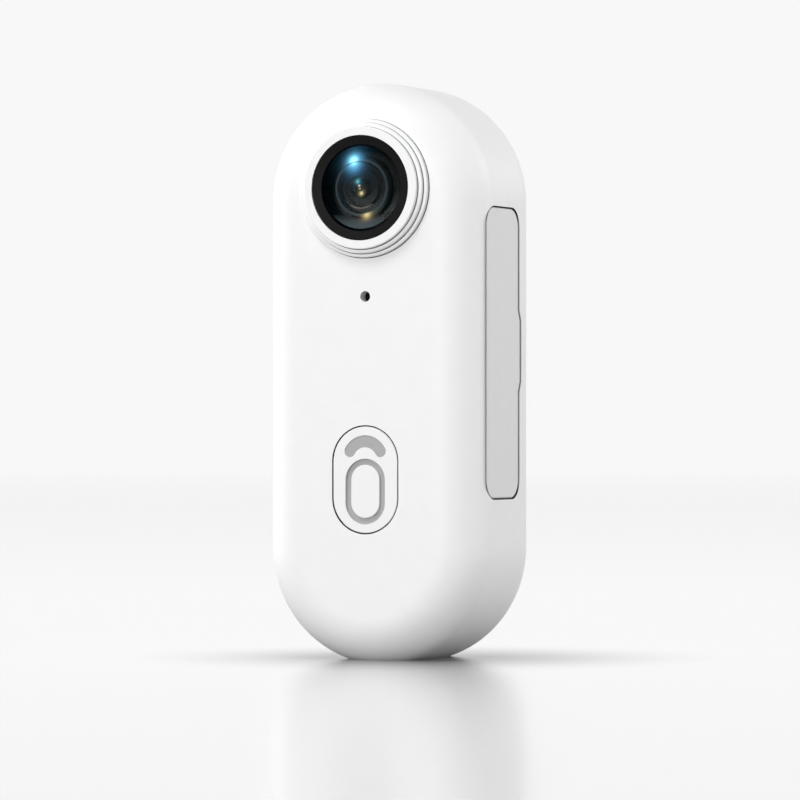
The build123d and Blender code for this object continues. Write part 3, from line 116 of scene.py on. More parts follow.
# The contacts on each face of the socket's tongue. A contact's levels are insets of
# its outline and heights above the face.
CONTACTS = 12
CONTACT_PITCH = 0.5
CONTACT_HALF = 0.13
CONTACT_CORNER = 0.08
CONTACT_SETBACK = 0.45
CONTACT_LENGTH = 3.9
LONG_CONTACT_LENGTH = 4.4
LONG_CONTACTS = (0, 3, 8, 11)
CONTACT_LEVELS = ((0, -0.02), (0, 0.012), (-0.03, 0.03))

# The dark lines of painted shade round the lens ring, at the roots of its steps and its
# foot: name, radius and front of the step, depth and lip
SHADE_LINES = (
    ("front_groove_shade", 6.45, -10.24, 0.14, 0.08),
    ("middle_groove_shade", 6.9, -9.82, 0.14, 0.08),
    ("foot_shade", 7.3, FRONT_FACE - 0.08, 0.02, 0.09),
)
SHADE_LINE_WIDTH = 0.078
SHADE_LINE_INSET = 0.005
SHADE_LINE_EDGE = 0.01
SHADE_LINE_SIDES = 180
SHADE_LINE_THINNING = 0.75

# A coating's colour darkens to a share of itself this far from the lens axis. A
# fainter ring in it is a share as strong, with soft edges this far from its middle.
COATING_REACH = 5
EDGE_SHARE = 0.6
NOTCH = 2.73
NOTCH_SHARE = 0.4
NOTCH_EDGES = (0.05, 0.13)

# The lens coatings: apex, radius of curvature, reach from the lens axis, reflected
# colour, strength from 0 to 1, roughness, and the radius of a fainter ring
CAPS = (
    ("core_cap", -11.05, 12.4, (0.6, 4.4), (0.3, 0.85, 1.0), 0.008, 0.2, NOTCH),
    ("lower_glow_cap", -10.95, 8.6, (1.2, 2.65), (0.12, 0.5, 1.0), 0.0025, 0.3, NOTCH),
    ("cyan_cap", -10.86, 2.73, (0.3, 1.2), (0.2, 0.8, 1.0), 0.009, 0.32),
    ("white_cap", -10.67, 0.9, (0.0, 0.36), (1.0, 0.95, 0.8), 0.02, 0.36),
    ("pale_cap", -10.6, -0.5, (0.0, 0.2), (1.0, 0.9, 0.6), 0.03, 0.4),
    ("yellow_cap", -10.39, -2.5, (0.3, 1.1), (1.0, 0.85, 0.45), 0.012, 0.31),
    ("gold_cap", -9.8, -11.9, (2.7, 3.8), (1.0, 0.8, 0.35), 0.0022, 0.19),
)
GLOW_CAP = ("glow_cap", -11.1, 11.7, (0.0, 4.45), (0.09, 0.44, 1.0), 0.006, 0.21, NOTCH)
HAZE_CAP = ("haze_cap", -10.03, 11.7, (0.0, 4.6), (0.85, 0.92, 0.85), 0.13, 0.3)
CAP_RINGS = 12
CAP_SIDES = 72

# The faint rims deeper in the lens: depth, reach, colour, strength, and the heights
# above the lens axis between which a rim appears. They are nearly flat.
RIMS = (
    ("stop_rim", -10.13, (2.74, 3.02), (0.6, 0.85, 1.0), 0.4, None),
    ("middle_rim", -10.3, (2.05, 2.22), (1.0, 0.9, 0.75), 0.8, (-1.6, -2.0)),
    ("lower_rim", -10.25, (3.3, 4.3), (0.75, 0.9, 1.0), 0.7, (-2.7, -4.0)),
)
RIM_RADIUS = 500
RIM_ROUGHNESS = 0.3

# The floor, in metres: its radius, the stretch over which it fades out, and the soft
# shadow painted under the object, with its middle in X and its stretch
FLOOR_RADIUS = 3.0
FLOOR_SIDES = 128
FLOOR_FADE = (0.3, 2.4)
SHADE_MIDDLE = 3 * MM
SHADE_STRETCH = (6 * MM, 34 * MM)
SHADE_GREY = 0.3
FLOOR_GREY = 0.86
FLOOR_BOUNCE_GREY = 0.29

# The strength of the surroundings: as they are seen and mirrored, as an even light,
# and as the glass mirrors them
BACKDROP = 0.94
AMBIENT = 0.3
GLASS_BACKDROP = 0.12

# Name, azimuth and height in degrees, distance and size in metres, power in watts
LIGHTS = (
    ("front", 0.0, 4.0, 0.9, 0.4, 5.15),
    ("fill", -14.0, 52.0, 0.9, 0.4, 3.4),
    ("left", -85.0, 12.0, 0.8, 0.5, 2.0),
    ("left_back", -112.0, 18.0, 0.8, 0.5, 3.2),
    ("rim", 140.0, 15.0, 0.8, 0.4, 2.25),
    ("back", 180.0, 35.0, 0.9, 0.6, 0.5),
    ("side", 100.0, 8.0, 0.8, 0.5, 2.25),
)
FLOOR_LIGHT = ("floor_light", 0.0, 85.0, 1.2, 1.0, 10.5)
GLASS_LIGHT = ("glass_light", -33.0, 28.0, 0.6, 0.05, 9.0)
GLOW_LIGHT = ("glow_light", -33.0, 28.5, 0.6, 0.2, 9.0)
LIGHTS_AIM = Vector((0, 0, 0.03))

# The camera: azimuth and upward tilt in degrees, distance and height in metres, the
# sensor's width, and the focal length in widths of the picture, which is 800 pixels
CAMERA_AZIMUTH = 23.5
CAMERA_TILT = 0.347
CAMERA_DISTANCE = 0.527
CAMERA_HEIGHT = 0.0243
SENSOR_WIDTH = 36
FOCAL_LENGTH = 4930 / 800

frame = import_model()


# Node helpers for materials

def new_material(name):
    """A new node material, its node tree and its Principled shader."""
    material = bpy.data.materials.new(name)
    material.use_nodes = True
    tree = material.node_tree
    return material, tree, tree.nodes["Principled BSDF"]


def plug(tree, socket, value):
    """Links a socket, or sets its value."""
    if isinstance(value, bpy.types.NodeSocket):
        tree.links.new(value, socket)
    else:
        socket.default_value = value


def add_node(tree, kind, settings=None, **inputs):
    """One node, with its settings and the values or links of its inputs."""
    node = tree.nodes.new(kind)
    for key, value in (settings or {}).items():
        setattr(node, key, value)
    for key, value in inputs.items():
        plug(tree, node.inputs[key], value)
    return node


def place(tree):
    """The object's own coordinates, in metres."""
    return tree.nodes.new("ShaderNodeTexCoord").outputs["Object"]


def axes(tree):
    """The three coordinates as separate values."""
    node = add_node(tree, "ShaderNodeSeparateXYZ", Vector=place(tree))
    return node.outputs["X"], node.outputs["Y"], node.outputs["Z"]


def calc(tree, operation, first, second=0.0):
    """One step of arithmetic on values."""
    node = add_node(tree, "ShaderNodeMath", {"operation": operation})
    plug(tree, node.inputs[0], first)
    plug(tree, node.inputs[1], second)
    return node.outputs["Value"]


def above(tree, value, limit):
    """1 where a value is above a limit, and 0 elsewhere."""
    return calc(tree, "GREATER_THAN", value, limit)


def below(tree, value, limit):
    """1 where a value is below a limit, and 0 elsewhere."""
    return calc(tree, "LESS_THAN", value, limit)


def away(tree, value, middle):
    """How far a value is from a middle, to either side."""
    return calc(tree, "ABSOLUTE", calc(tree, "SUBTRACT", value, middle))


def wave(tree, value, pitch):
    """A sine wave of that pitch along a value."""
    return calc(tree, "SINE", calc(tree, "MULTIPLY", value, 2 * math.pi / pitch))


def noise(tree, size_mm, detail=3.0, stretch=None):
    """Noise over the object's own coordinates, with features of about that size."""
    vector = place(tree)
    if stretch:
        vector = add_node(tree, "ShaderNodeMapping", Vector=vector, Scale=stretch).outputs["Vector"]
    settings = {"Scale": 1.0 / (size_mm * MM), "Detail": detail, "Roughness": 0.55}
    return add_node(tree, "ShaderNodeTexNoise", Vector=vector, **settings).outputs["Fac"]


def cells(tree, size_mm, feature="F1"):
    """Distances in a Voronoi pattern with cells of about that size."""
    scale = 1.0 / (size_mm * MM)
    node = add_node(tree, "ShaderNodeTexVoronoi", {"feature": feature}, Vector=place(tree), Scale=scale)
    return node.outputs["Distance"]


def spread(tree, value, low, high, start=0.0, end=1.0):
    """A value from start to end turned into one from low to high."""
    node = add_node(tree, "ShaderNodeMapRange", Value=value)
    for key, number in (("From Min", start), ("From Max", end), ("To Min", low), ("To Max", high)):
        node.inputs[key].default_value = number
    return node.outputs["Result"]


def soft_step(tree, value, start, end):
    """A smooth rise from 0 to 1."""
    node = add_node(tree, "ShaderNodeMapRange", {"interpolation_type": "SMOOTHSTEP"}, Value=value)
    node.inputs["From Min"].default_value = start
    node.inputs["From Max"].default_value = end
    return node.outputs["Result"]


def tint(tree, factor, first, second, start=0.0, end=1.0):
    """A colour between two colours."""
    ramp = tree.nodes.new("ShaderNodeValToRGB")
    low, high = ramp.color_ramp.elements
    low.position, high.position = start, end
    low.color = (*first, 1)
    high.color = (*second, 1)
    tree.links.new(factor, ramp.inputs["Fac"])
    return ramp.outputs["Color"]


def mix(tree, factor, first, second):
    """One colour over another by a factor. Sockets 6, 7 and 2 are the Mix node's colours."""
    node = add_node(tree, "ShaderNodeMix", {"data_type": "RGBA"}, Factor=factor)
    for socket, colour in ((node.inputs[6], first), (node.inputs[7], second)):
        plug(tree, socket, colour if isinstance(colour, bpy.types.NodeSocket) else (*colour, 1))
    return node.outputs[2]


def grey(value):
    """A neutral colour."""
    return (value, value, value)


def lens_radius(tree):
    """The distance from the lens axis, in millimetres."""
    x, _, z = axes(tree)
    rise = calc(tree, "SUBTRACT", z, LENS_HEIGHT * MM)
    square = calc(tree, "ADD", calc(tree, "MULTIPLY", x, x), calc(tree, "MULTIPLY", rise, rise))
    return calc(tree, "MULTIPLY", calc(tree, "SQRT", square), 1000.0)


def uneven(tree, shader, size_mm, low, high):
    """Roughness that varies over patches of about that size."""
    plug(tree, shader.inputs["Roughness"], spread(tree, noise(tree, size_mm), low, high))


def bump(tree, shader, height, depth_mm):
    """Fine relief on a shader from a height factor."""
    node = add_node(tree, "ShaderNodeBump", Height=height, Strength=1.0, Distance=depth_mm * MM)
    tree.links.new(node.outputs["Normal"], shader.inputs["Normal"])


# Kinds of material

def plastic(name, dark, light, rough, grain_mm, relief_mm, specular=0.5, coat=0.0):
    """Moulded plastic or rubber: a faint mottle, varied roughness and a fine grain."""
    material, tree, shader = new_material(name)
    grain = noise(tree, grain_mm, 2.0)
    plug(tree, shader.inputs["Base Color"], tint(tree, noise(tree, grain_mm * 12), dark, light, 0.3, 0.7))
    plug(tree, shader.inputs["Roughness"], spread(tree, grain, *rough, 0.3, 0.7))
    bump(tree, shader, grain, relief_mm)
    shader.inputs["Specular IOR Level"].default_value = specular
    shader.inputs["Coat Weight"].default_value = coat
    shader.inputs["Coat Roughness"].default_value = 0.25
    return material


def metal(name, dark, light, rough, grain_mm=0.15, relief_mm=0.002, stretch=None):
    """Bare or plated metal with fine marks."""
    material, tree, shader = new_material(name)
    marks = noise(tree, grain_mm, 4.0, stretch)
    plug(tree, shader.inputs["Base Color"], tint(tree, marks, dark, light, 0.3, 0.7))
    plug(tree, shader.inputs["Roughness"], spread(tree, marks, *rough, 0.3, 0.7))
    bump(tree, shader, marks, relief_mm)
    shader.inputs["Metallic"].default_value = 1.0
    return material


def turned(name, dark, light, rough, ring_mm, relief_mm, specular):
    """Matte black with the fine rings that turning leaves round the lens axis."""
    material, tree, shader = new_material(name)
    rings = spread(tree, wave(tree, lens_radius(tree), ring_mm), 0.0, 1.0, -1.0, 1.0)
    marks = calc(tree, "MULTIPLY", rings, noise(tree, 0.3))
    plug(tree, shader.inputs["Base Color"], tint(tree, marks, dark, light))
    plug(tree, shader.inputs["Roughness"], spread(tree, marks, *rough))
    bump(tree, shader, marks, relief_mm)
    shader.inputs["Specular IOR Level"].default_value = specular
    return material


def circuit_board(name, mask_colour, track_colour, hole_colour):
    """Solder mask over fine tracks, with small plated holes."""
    material, tree, shader = new_material(name)
    tracks = below(tree, cells(tree, 1.3, "DISTANCE_TO_EDGE"), 0.06)
    holes = below(tree, cells(tree, 1.1), 0.13)
    colour = mix(tree, tracks, mask_colour, track_colour)
    plug(tree, shader.inputs["Base Color"], mix(tree, holes, colour, hole_colour))
    plug(tree, shader.inputs["Metallic"], holes)
    uneven(tree, shader, 0.2, 0.28, 0.42)
    bump(tree, shader, calc(tree, "ADD", tracks, holes), 0.01)
    return material


def coating(name, colour, strength, rough, notch_mm=None, low_mm=None):
    """A lens coating: clear, with a coloured reflection.

    A fainter ring may cross it, and it may show only below a height."""
    material, tree, shader = new_material(name)
    radius = lens_radius(tree)
    edge = tuple(c * EDGE_SHARE for c in colour)
    outwards = spread(tree, radius, 0, 1, 0, COATING_REACH)
    plug(tree, shader.inputs["Base Color"], tint(tree, outwards, colour, edge))
    uneven(tree, shader, 0.8, rough * 0.95, rough * 1.05)
    shader.inputs["Metallic"].default_value = 1.0
    alpha = strength
    if notch_mm:
        alpha = spread(tree, away(tree, radius, notch_mm), strength * NOTCH_SHARE, strength, *NOTCH_EDGES)
    if low_mm:
        height = calc(tree, "SUBTRACT", axes(tree)[2], LENS_HEIGHT * MM)
        alpha = spread(tree, height, 0.0, strength, low_mm[0] * MM, low_mm[1] * MM)
    plug(tree, shader.inputs["Alpha"], alpha)
    return material


# Mesh helpers

def piece(name, vertices, faces, material, body="casing", smooth=True):
    """A mesh object, given in millimetres, that rides on a body if one is named."""
    mesh = bpy.data.meshes.new(name)
    mesh.from_pydata([Vector(v) * MM for v in vertices], [], faces)
    work = bmesh.new()
    work.from_mesh(mesh)
    bmesh.ops.recalc_face_normals(work, faces=work.faces)
    work.to_mesh(mesh)
    work.free()
    mesh.polygons.foreach_set("use_smooth", [smooth] * len(mesh.polygons))
    mesh.materials.append(material)
    thing = bpy.data.objects.new(name, mesh)
    bpy.context.scene.collection.objects.link(thing)
    if body:
        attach(thing, body)
    return thing


def rounded_box(low, high, corner, steps=12):
    """Points round a rounded rectangle, without repeats."""
    centres = (
        (low[0] + corner, low[1] + corner),
        (high[0] - corner, low[1] + corner),
        (high[0] - corner, high[1] - corner),
        (low[0] + corner, high[1] - corner),
    )
    points = []
    for turn, (u, v) in enumerate(centres):
        for step in range(steps + 1):
            angle = math.radians(180 + 90 * (turn + step / steps))
            point = (u + corner * math.cos(angle), v + corner * math.sin(angle))
            if not points or math.dist(point, points[-1]) > 1e-6:
                points.append(point)
    return points if math.dist(points[0], points[-1]) > 1e-6 else points[:-1]


def flap_outline():
    """The flap's outline as Y and Z, with its pull tab."""
    points = rounded_box(FLAP_LOW, FLAP_HIGH, FLAP_CORNER)
    half = len(points) // 2
    return points[:half] + list(TAB) + points[half:]


def grown(points, offset):
    """An outline moved outwards by an offset, with mitred corners."""
    moved = []
    for i, (u, v) in enumerate(points):
        before, after = points[i - 1], points[(i + 1) % len(points)]
        first = Vector((v - before[1], before[0] - u)).normalized()
        second = Vector((after[1] - v, u - after[0])).normalized()
        normal = (first + second).normalized()
        moved.append((u + normal.x * offset / normal.dot(first), v + normal.y * offset / normal.dot(first)))
    return moved


def quad_band(start, count):
    """The faces between one ring of points and the next, by the first ring's start."""
    faces = []
    for j in range(count):
        a, b = start + j, start + (j + 1) % count
        faces.append((a, b, b + count, a + count))
    return faces


def loop_faces(sections, count):
    """The faces of a closed loop of sections with that many points each."""
    faces = []
    for i in range(sections):
        after = (i + 1) % sections * count
        for j in range(count):
            beside = (j + 1) % count
            faces.append((i * count + j, i * count + beside, after + beside, after + j))
    return faces


def gap_bead(name, points, profile, put, material, room=0.0):
    """A closed bead that follows an outline. The profile is offsets and depths.

    Where an outline's first value is below HINGE_SIDE, its offsets are at least the
    room. put turns a point of the outline and a depth into a place."""
    rings = [grown(points, offset) for offset, _ in profile]
    clear = [grown(points, max(offset, room)) for offset, _ in profile]
    vertices = []
    for i, (u, _) in enumerate(points):
        chosen = clear if u < HINGE_SIDE else rings
        for j, (_, depth) in enumerate(profile):
            vertices.append(put(*chosen[j][i], depth))
    bead = piece(name, vertices, loop_faces(len(points), len(profile)), material)


def cover(material, *nodes):
    """Gives CAD nodes a material."""
    for node in nodes:
        mesh = frame["nodes"][node].data
        mesh.materials.clear()
        mesh.materials.append(material)


# Materials of the outside

white = plastic("white_shell", (0.80, 0.80, 0.805), (0.815, 0.815, 0.82), (0.42, 0.52), 0.18, 0.0012, 0.4)
cover(white, "front_shell", "rear_shell")
satin = plastic("white_satin", grey(0.80), grey(0.81), (0.32, 0.4), 0.2, 0.0008, 0.45, 0.1)
cover(satin, "lens_bezel", "button_cap", "button_centre")
flap_skin = plastic("flap_grey", grey(0.70), grey(0.715), (0.5, 0.62), 0.12, 0.0015, 0.35)
cover(flap_skin, "side_door")
seal = plastic("seal_grey", grey(0.42), grey(0.46), (0.6, 0.7), 0.1, 0.0015, 0.3)
cover(seal, "door_seal")
cover(plastic("light_guide", grey(0.345), grey(0.37), (0.35, 0.45), 0.15, 0.001), "button_light_guide")
tray_black = plastic("tray_black", grey(0.028), grey(0.036), (0.5, 0.62), 0.1, 0.003, 0.4)
cover(tray_black, "socket_panel")
gap_black = plastic("gap_black", grey(0.006), grey(0.009), (0.7, 0.8), 0.1, 0.001, 0.15)
# Painted shade for the dark lines in the lens ring's grooves
painted_groove_shade = plastic("painted_groove_shade", grey(0.11), grey(0.14), (0.7, 0.8), 0.1, 0.001, 0.15)


# Materials of the lens

ring_black = turned("ring_black", grey(0.006), grey(0.011), (0.45, 0.55), 0.06, 0.0008, 0.05)
cover(ring_black, "lens_retaining_ring")
inner_black = turned("inner_black", grey(0.006), grey(0.014), (0.45, 0.6), 0.25, 0.004, 0.2)
cover(inner_black, "lens_barrel", "aperture_stop")
cover(inner_black, "lens_spacer_front", "lens_spacer_rear", "lens_spacer_back")
cover(coating("front_coating", (1.0, 0.87, 0.55), 0.0002, 0.15), "lens_element_1")
cover(coating("second_coating", (0.95, 0.85, 0.6), 0.03, 0.2), "lens_element_2")
cover(coating("third_coating", (1.0, 0.7, 0.25), 0.006, 0.12), "lens_element_3")
cover(coating("fourth_coating", (0.9, 0.5, 0.2), 0.006, 0.12), "lens_element_4", "lens_element_5")
cover(coating("filter_coating", (0.9, 0.25, 0.3), 0.03, 0.05), "ir_filter")


# Materials of the inside

dull_black = plastic("moulded_black", grey(0.02), grey(0.03), (0.5, 0.65), 0.12, 0.003, 0.4)
cover(dull_black, "lens_mount", "battery_connector")
cover(plastic("frame_grey", grey(0.32), grey(0.36), (0.5, 0.65), 0.12, 0.003, 0.4), "mid_frame")
rubber_black = plastic("rubber_black", grey(0.006), grey(0.01), (0.7, 0.85), 0.15, 0.003, 0.2)
cover(rubber_black, "mic_gasket", "lens_seal")
foam = plastic("foam_grey", grey(0.05), grey(0.11), (0.85, 0.95), 0.25, 0.03, 0.2)
cover(foam, "battery_foam")
cover(plastic("silicone_clear", grey(0.55), grey(0.62), (0.35, 0.5), 0.2, 0.001, 0.5), "button_pad")
pad_blue = plastic("pad_blue", (0.22, 0.33, 0.42), (0.28, 0.4, 0.5), (0.6, 0.75), 0.08, 0.004, 0.3)
cover(pad_blue, "thermal_pad")
key_cream = plastic("key_cream", (0.55, 0.5, 0.4), (0.62, 0.56, 0.45), (0.4, 0.5), 0.15, 0.002)
cover(key_cream, "reset_plunger")
key_brown = plastic("key_brown", (0.05, 0.035, 0.025), (0.08, 0.05, 0.035), (0.4, 0.5), 0.15, 0.002)
cover(key_brown, "tact_plunger")
chip_epoxy = plastic("chip_epoxy", grey(0.018), grey(0.03), (0.5, 0.62), 0.06, 0.002, 0.35)
cover(chip_epoxy, "memory_chips", "processor")
nylon_cream = plastic("nylon_cream", (0.6, 0.56, 0.46), (0.66, 0.62, 0.52), (0.4, 0.5), 0.15, 0.002)
cover(nylon_cream, "board_header")
cover(plastic("led_amber", (0.75, 0.6, 0.2), (0.85, 0.75, 0.4), (0.2, 0.3), 0.3, 0.002), "status_leds")
spring_steel = metal("spring_steel", grey(0.5), grey(0.62), (0.25, 0.4))
cover(spring_steel, "tact_switch", "reset_switch", "board_screws")
cover(metal("tin_plate", grey(0.58), grey(0.7), (0.3, 0.45), 0.3), "shield_can", "card_slot")
cover(metal("bright_steel", grey(0.6), grey(0.72), (0.18, 0.3), 0.2, 0.001, (1, 6, 6)), "usb_port")
cover(metal("nickel", (0.62, 0.6, 0.56), (0.72, 0.7, 0.66), (0.15, 0.25), 0.4), "rear_magnets")
copper = metal("copper", (0.75, 0.38, 0.22), (0.85, 0.5, 0.32), (0.3, 0.45), 0.3)
cover(copper, "heat_spreader", "wifi_antenna")
cover(metal("gold_can", (0.75, 0.58, 0.3), (0.85, 0.68, 0.38), (0.25, 0.35), 0.3), "microphone")
board_green = circuit_board("board_green", (0.01, 0.07, 0.035), (0.02, 0.13, 0.06), (0.75, 0.55, 0.25))
cover(board_green, "main_board", "front_board", "sensor_board")


def mesh_screen(pitch_mm=0.12):
    """The microphone's fine black screen: woven wires with dark holes."""
    material, tree, shader = new_material("mic_screen")
    x, _, z = axes(tree)
    crossing = calc(tree, "MULTIPLY", wave(tree, x, pitch_mm * MM), wave(tree, z, pitch_mm * MM))
    weave = spread(tree, crossing, 0.0, 1.0, -1.0, 1.0)
    plug(tree, shader.inputs["Base Color"], tint(tree, weave, grey(0.001), grey(0.006)))
    plug(tree, shader.inputs["Roughness"], spread(tree, weave, 0.8, 0.5))
    bump(tree, shader, weave, 0.02)
    shader.inputs["Specular IOR Level"].default_value = 0.08
    return material


def tongue(nose_mm=8.7):
    """The socket's black tongue, with a paler nose."""
    material, tree, shader = new_material("socket_tongue")
    x, _, _ = axes(tree)
    nose = above(tree, x, nose_mm * MM)
    body = tint(tree, noise(tree, 0.5), grey(0.02), grey(0.03))
    plug(tree, shader.inputs["Base Color"], mix(tree, nose, body, grey(0.06)))
    uneven(tree, shader, 0.1, 0.4, 0.55)
    return material


def card(contacts_mm=(-4.2, -1.2), pitch_mm=1.1, face_mm=0.05):
    """A plain memory card: matte black, with gold contacts near its inner end."""
    material, tree, shader = new_material("card_black")
    x, y, z = axes(tree)
    strips = above(tree, wave(tree, z, pitch_mm * MM), -0.3)
    ends = calc(tree, "MULTIPLY", below(tree, x, contacts_mm[1] * MM), above(tree, x, contacts_mm[0] * MM))
    face = below(tree, y, face_mm * MM)
    gold = calc(tree, "MULTIPLY", calc(tree, "MULTIPLY", strips, ends), face)
    body = tint(tree, noise(tree, 0.6), grey(0.02), grey(0.028))
    plug(tree, shader.inputs["Base Color"], mix(tree, gold, body, (0.85, 0.65, 0.3)))
    plug(tree, shader.inputs["Metallic"], gold)
    uneven(tree, shader, 0.08, 0.4, 0.55)
    bump(tree, shader, noise(tree, 0.08), 0.002)
    return material


def pouch(tape_mm=37.2):
    """The cell's foil pouch: soft creases, and amber tape along its top."""
    material, tree, shader = new_material("cell_foil")
    _, _, z = axes(tree)
    tape = above(tree, z, tape_mm * MM)
    foil = tint(tree, noise(tree, 4.0), grey(0.6), grey(0.7))
    plug(tree, shader.inputs["Base Color"], mix(tree, tape, foil, (0.7, 0.38, 0.05)))
    plug(tree, shader.inputs["Metallic"], calc(tree, "SUBTRACT", 1.0, tape))
    uneven(tree, shader, 1.5, 0.3, 0.5)
    bump(tree, shader, noise(tree, 3.0, 2.0), 0.05)
    return material


def leads():
    """The cell's two leads: one red, one black."""
    material, tree, shader = new_material("lead_jackets")
    x, _, _ = axes(tree)
    plug(tree, shader.inputs["Base Color"], mix(tree, above(tree, x, 0.0), grey(0.02), (0.5, 0.02, 0.015)))
    uneven(tree, shader, 0.3, 0.4, 0.55)
    bump(tree, shader, noise(tree, 0.2), 0.003)
    return material


def ribbon(pitch_mm=0.3):
    """The lens cable: amber film over straight copper tracks."""
    material, tree, shader = new_material("ribbon_amber")
    x, _, _ = axes(tree)
    tracks = above(tree, wave(tree, x, pitch_mm * MM), 0.1)
    plug(tree, shader.inputs["Base Color"], mix(tree, tracks, (0.42, 0.16, 0.02), (0.62, 0.3, 0.07)))
    uneven(tree, shader, 0.4, 0.25, 0.4)
    bump(tree, shader, tracks, 0.01)
    return material


def flap_rubber_and_shade(straight_mm=13.6, round_mm=14.8):
    """The flap's bead, partly rubber and partly painted shade: grey along the straight sides, and painted
    black round the ends, where the gap's shade is deepest.
    """
    material, tree, shader = new_material("flap_rubber_and_shade")
    _, _, z = axes(tree)
    # Painted shade: black round the ends of the flap's gap, grey along its sides
    ends = soft_step(tree, away(tree, z, FLAP_MIDDLE * MM), straight_mm * MM, round_mm * MM)
    sides = tint(tree, noise(tree, 1.5), grey(0.26), grey(0.32))
    plug(tree, shader.inputs["Base Color"], mix(tree, ends, sides, grey(0.004)))
    uneven(tree, shader, 0.1, 0.7, 0.8)
    shader.inputs["Specular IOR Level"].default_value = 0.15
    return material


def sensor(half_width_mm=2.9, half_height_mm=2.2):
    """The image sensor: a black package round a coloured active area."""
    material, tree, shader = new_material("sensor_face")
    x, _, z = axes(tree)
    run = below(tree, away(tree, x, 0.0), half_width_mm * MM)
    rise = below(tree, away(tree, z, LENS_HEIGHT * MM), half_height_mm * MM)
    active = calc(tree, "MULTIPLY", run, rise)
    sheen = tint(tree, noise(tree, 2.5), (0.05, 0.02, 0.12), (0.02, 0.09, 0.08))
    plug(tree, shader.inputs["Base Color"], mix(tree, active, grey(0.015), sheen))
    plug(tree, shader.inputs["Roughness"], spread(tree, active, 0.5, 0.08))
    plug(tree, shader.inputs["Coat Weight"], active)
    return material


cover(mesh_screen(), "mic_mesh")
cover(tongue(), "usb_tongue")
cover(card(), "memory_card")
cover(pouch(), "battery")
cover(leads(), "battery_leads")
cover(ribbon(), "camera_flex")
cover(sensor(), "image_sensor")


# Small parts made here

def bead_profile(shoulder, bevel, crown, foot):
    """A bead's section: offsets from the outline, and depths below the face."""
    return (
        (BEAD_INNER, shoulder),
        (BEAD_INNER + BEAD_BEVEL, bevel),
        (BEAD_OUTER, crown),
        (BEAD_OUTER, foot),
        (BEAD_INNER, foot),
    )


def button_bead():
    """The thin black bead in the gap round the button, partly a seal and partly painted shade in the gap.
    """
    outline = rounded_box(BUTTON_LOW, BUTTON_HIGH, BUTTON_CORNER, steps=24)
    profile = bead_profile(shoulder=0.05, bevel=0.02, crown=0.015, foot=0.3)
    gap_bead("button_gasket_and_shade", outline, profile, lambda u, v, d: (u, FRONT_FACE + d, v), gap_black)


def flap_bead():
    """The thin bead in the gap round the flap, partly a seal and partly painted shade in the gap, with room
    for the flap's swing.
    """
    profile = bead_profile(shoulder=0.09, bevel=0.03, crown=0.012, foot=0.16)
    gap_bead("flap_gasket_and_shade", flap_outline(), profile, lambda u, v, d: (SIDE_FACE - d, u, v),
             flap_rubber_and_shade(), HINGE_ROOM)


def seam_line():
    """The hairline where the back cover meets the front shell."""
    outline = rounded_box(SEAM_LOW, SEAM_HIGH, SEAM_CORNER, steps=48)
    gap_bead("shell_seam", outline, SEAM_PROFILE, lambda u, v, d: (u, SEAM_Y + d, v), gap_black)


def dip(x, depth, width):
    """How much a strap shrinks near its bend."""
    return depth * math.exp(-((x - STRAP_BEND) / width) ** 2)


def strap_ring(x, middle):
    """One rounded section of a strap, thinner and narrower near the bend."""
    waist = dip(x, *STRAP_THINNING)
    half = STRAP_HALF - dip(x, *STRAP_NARROWING)
    low = STRAP_Y[0] + waist / 2
    high = (STRAP_Y[1] + STRAP_ROOT_EXTRA if x < STRAP_ROOT else STRAP_Y[1]) - waist / 2
    outline = rounded_box((low, middle - half), (high, middle + half), STRAP_CORNER, steps=4)
    return [(x, u, v) for u, v in outline]


def strap(name, middle):
    """One soft strap, a closed skin over a row of rings."""
    rings = []
    for step in range(STRAP_STEPS + 1):
        x = STRAP_ENDS[0] + step / STRAP_STEPS * (STRAP_ENDS[1] - STRAP_ENDS[0])
        rings.append(strap_ring(x, middle))
    count = len(rings[0])
    vertices = [point for ring in rings for point in ring]
    faces = [tuple(range(count)), tuple(range(len(vertices) - count, len(vertices)))]
    for number in range(STRAP_STEPS):
        faces += quad_band(number * count, count)
    skin = piece(name, vertices, faces, seal, body=None)
    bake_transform(skin)
    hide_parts("door_strap")


def contacts():
    """The gold contacts on both faces of the socket's tongue."""
    low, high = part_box("usb_tongue")
    middle = (low.z + high.z) / 2 / MM
    nose = high.x / MM - CONTACT_SETBACK
    gold = metal("contact_gold", (0.85, 0.62, 0.25), (0.95, 0.75, 0.38), (0.15, 0.25), 0.1, 0.0005)
    vertices, faces = [], []
    for face, outward in ((low.y / MM, -1), (high.y / MM, 1)):
        for number in range(CONTACTS):
            z = middle + (number - (CONTACTS - 1) / 2) * CONTACT_PITCH
            reach = LONG_CONTACT_LENGTH if number in LONG_CONTACTS else CONTACT_LENGTH
            corners = (nose - reach, z - CONTACT_HALF), (nose, z + CONTACT_HALF)
            outline = rounded_box(*corners, CONTACT_CORNER, steps=3)
            start, count = len(vertices), len(outline)
            for inset, height in CONTACT_LEVELS:
                vertices += [(u, face + outward * height, v) for u, v in grown(outline, inset)]
            faces += quad_band(start, count) + quad_band(start + count, count)
            faces.append(tuple(range(start, start + count)))
            faces.append(tuple(range(start + 2 * count, start + 3 * count)))
    strip = piece("usb_contacts", vertices, faces, gold, smooth=False)


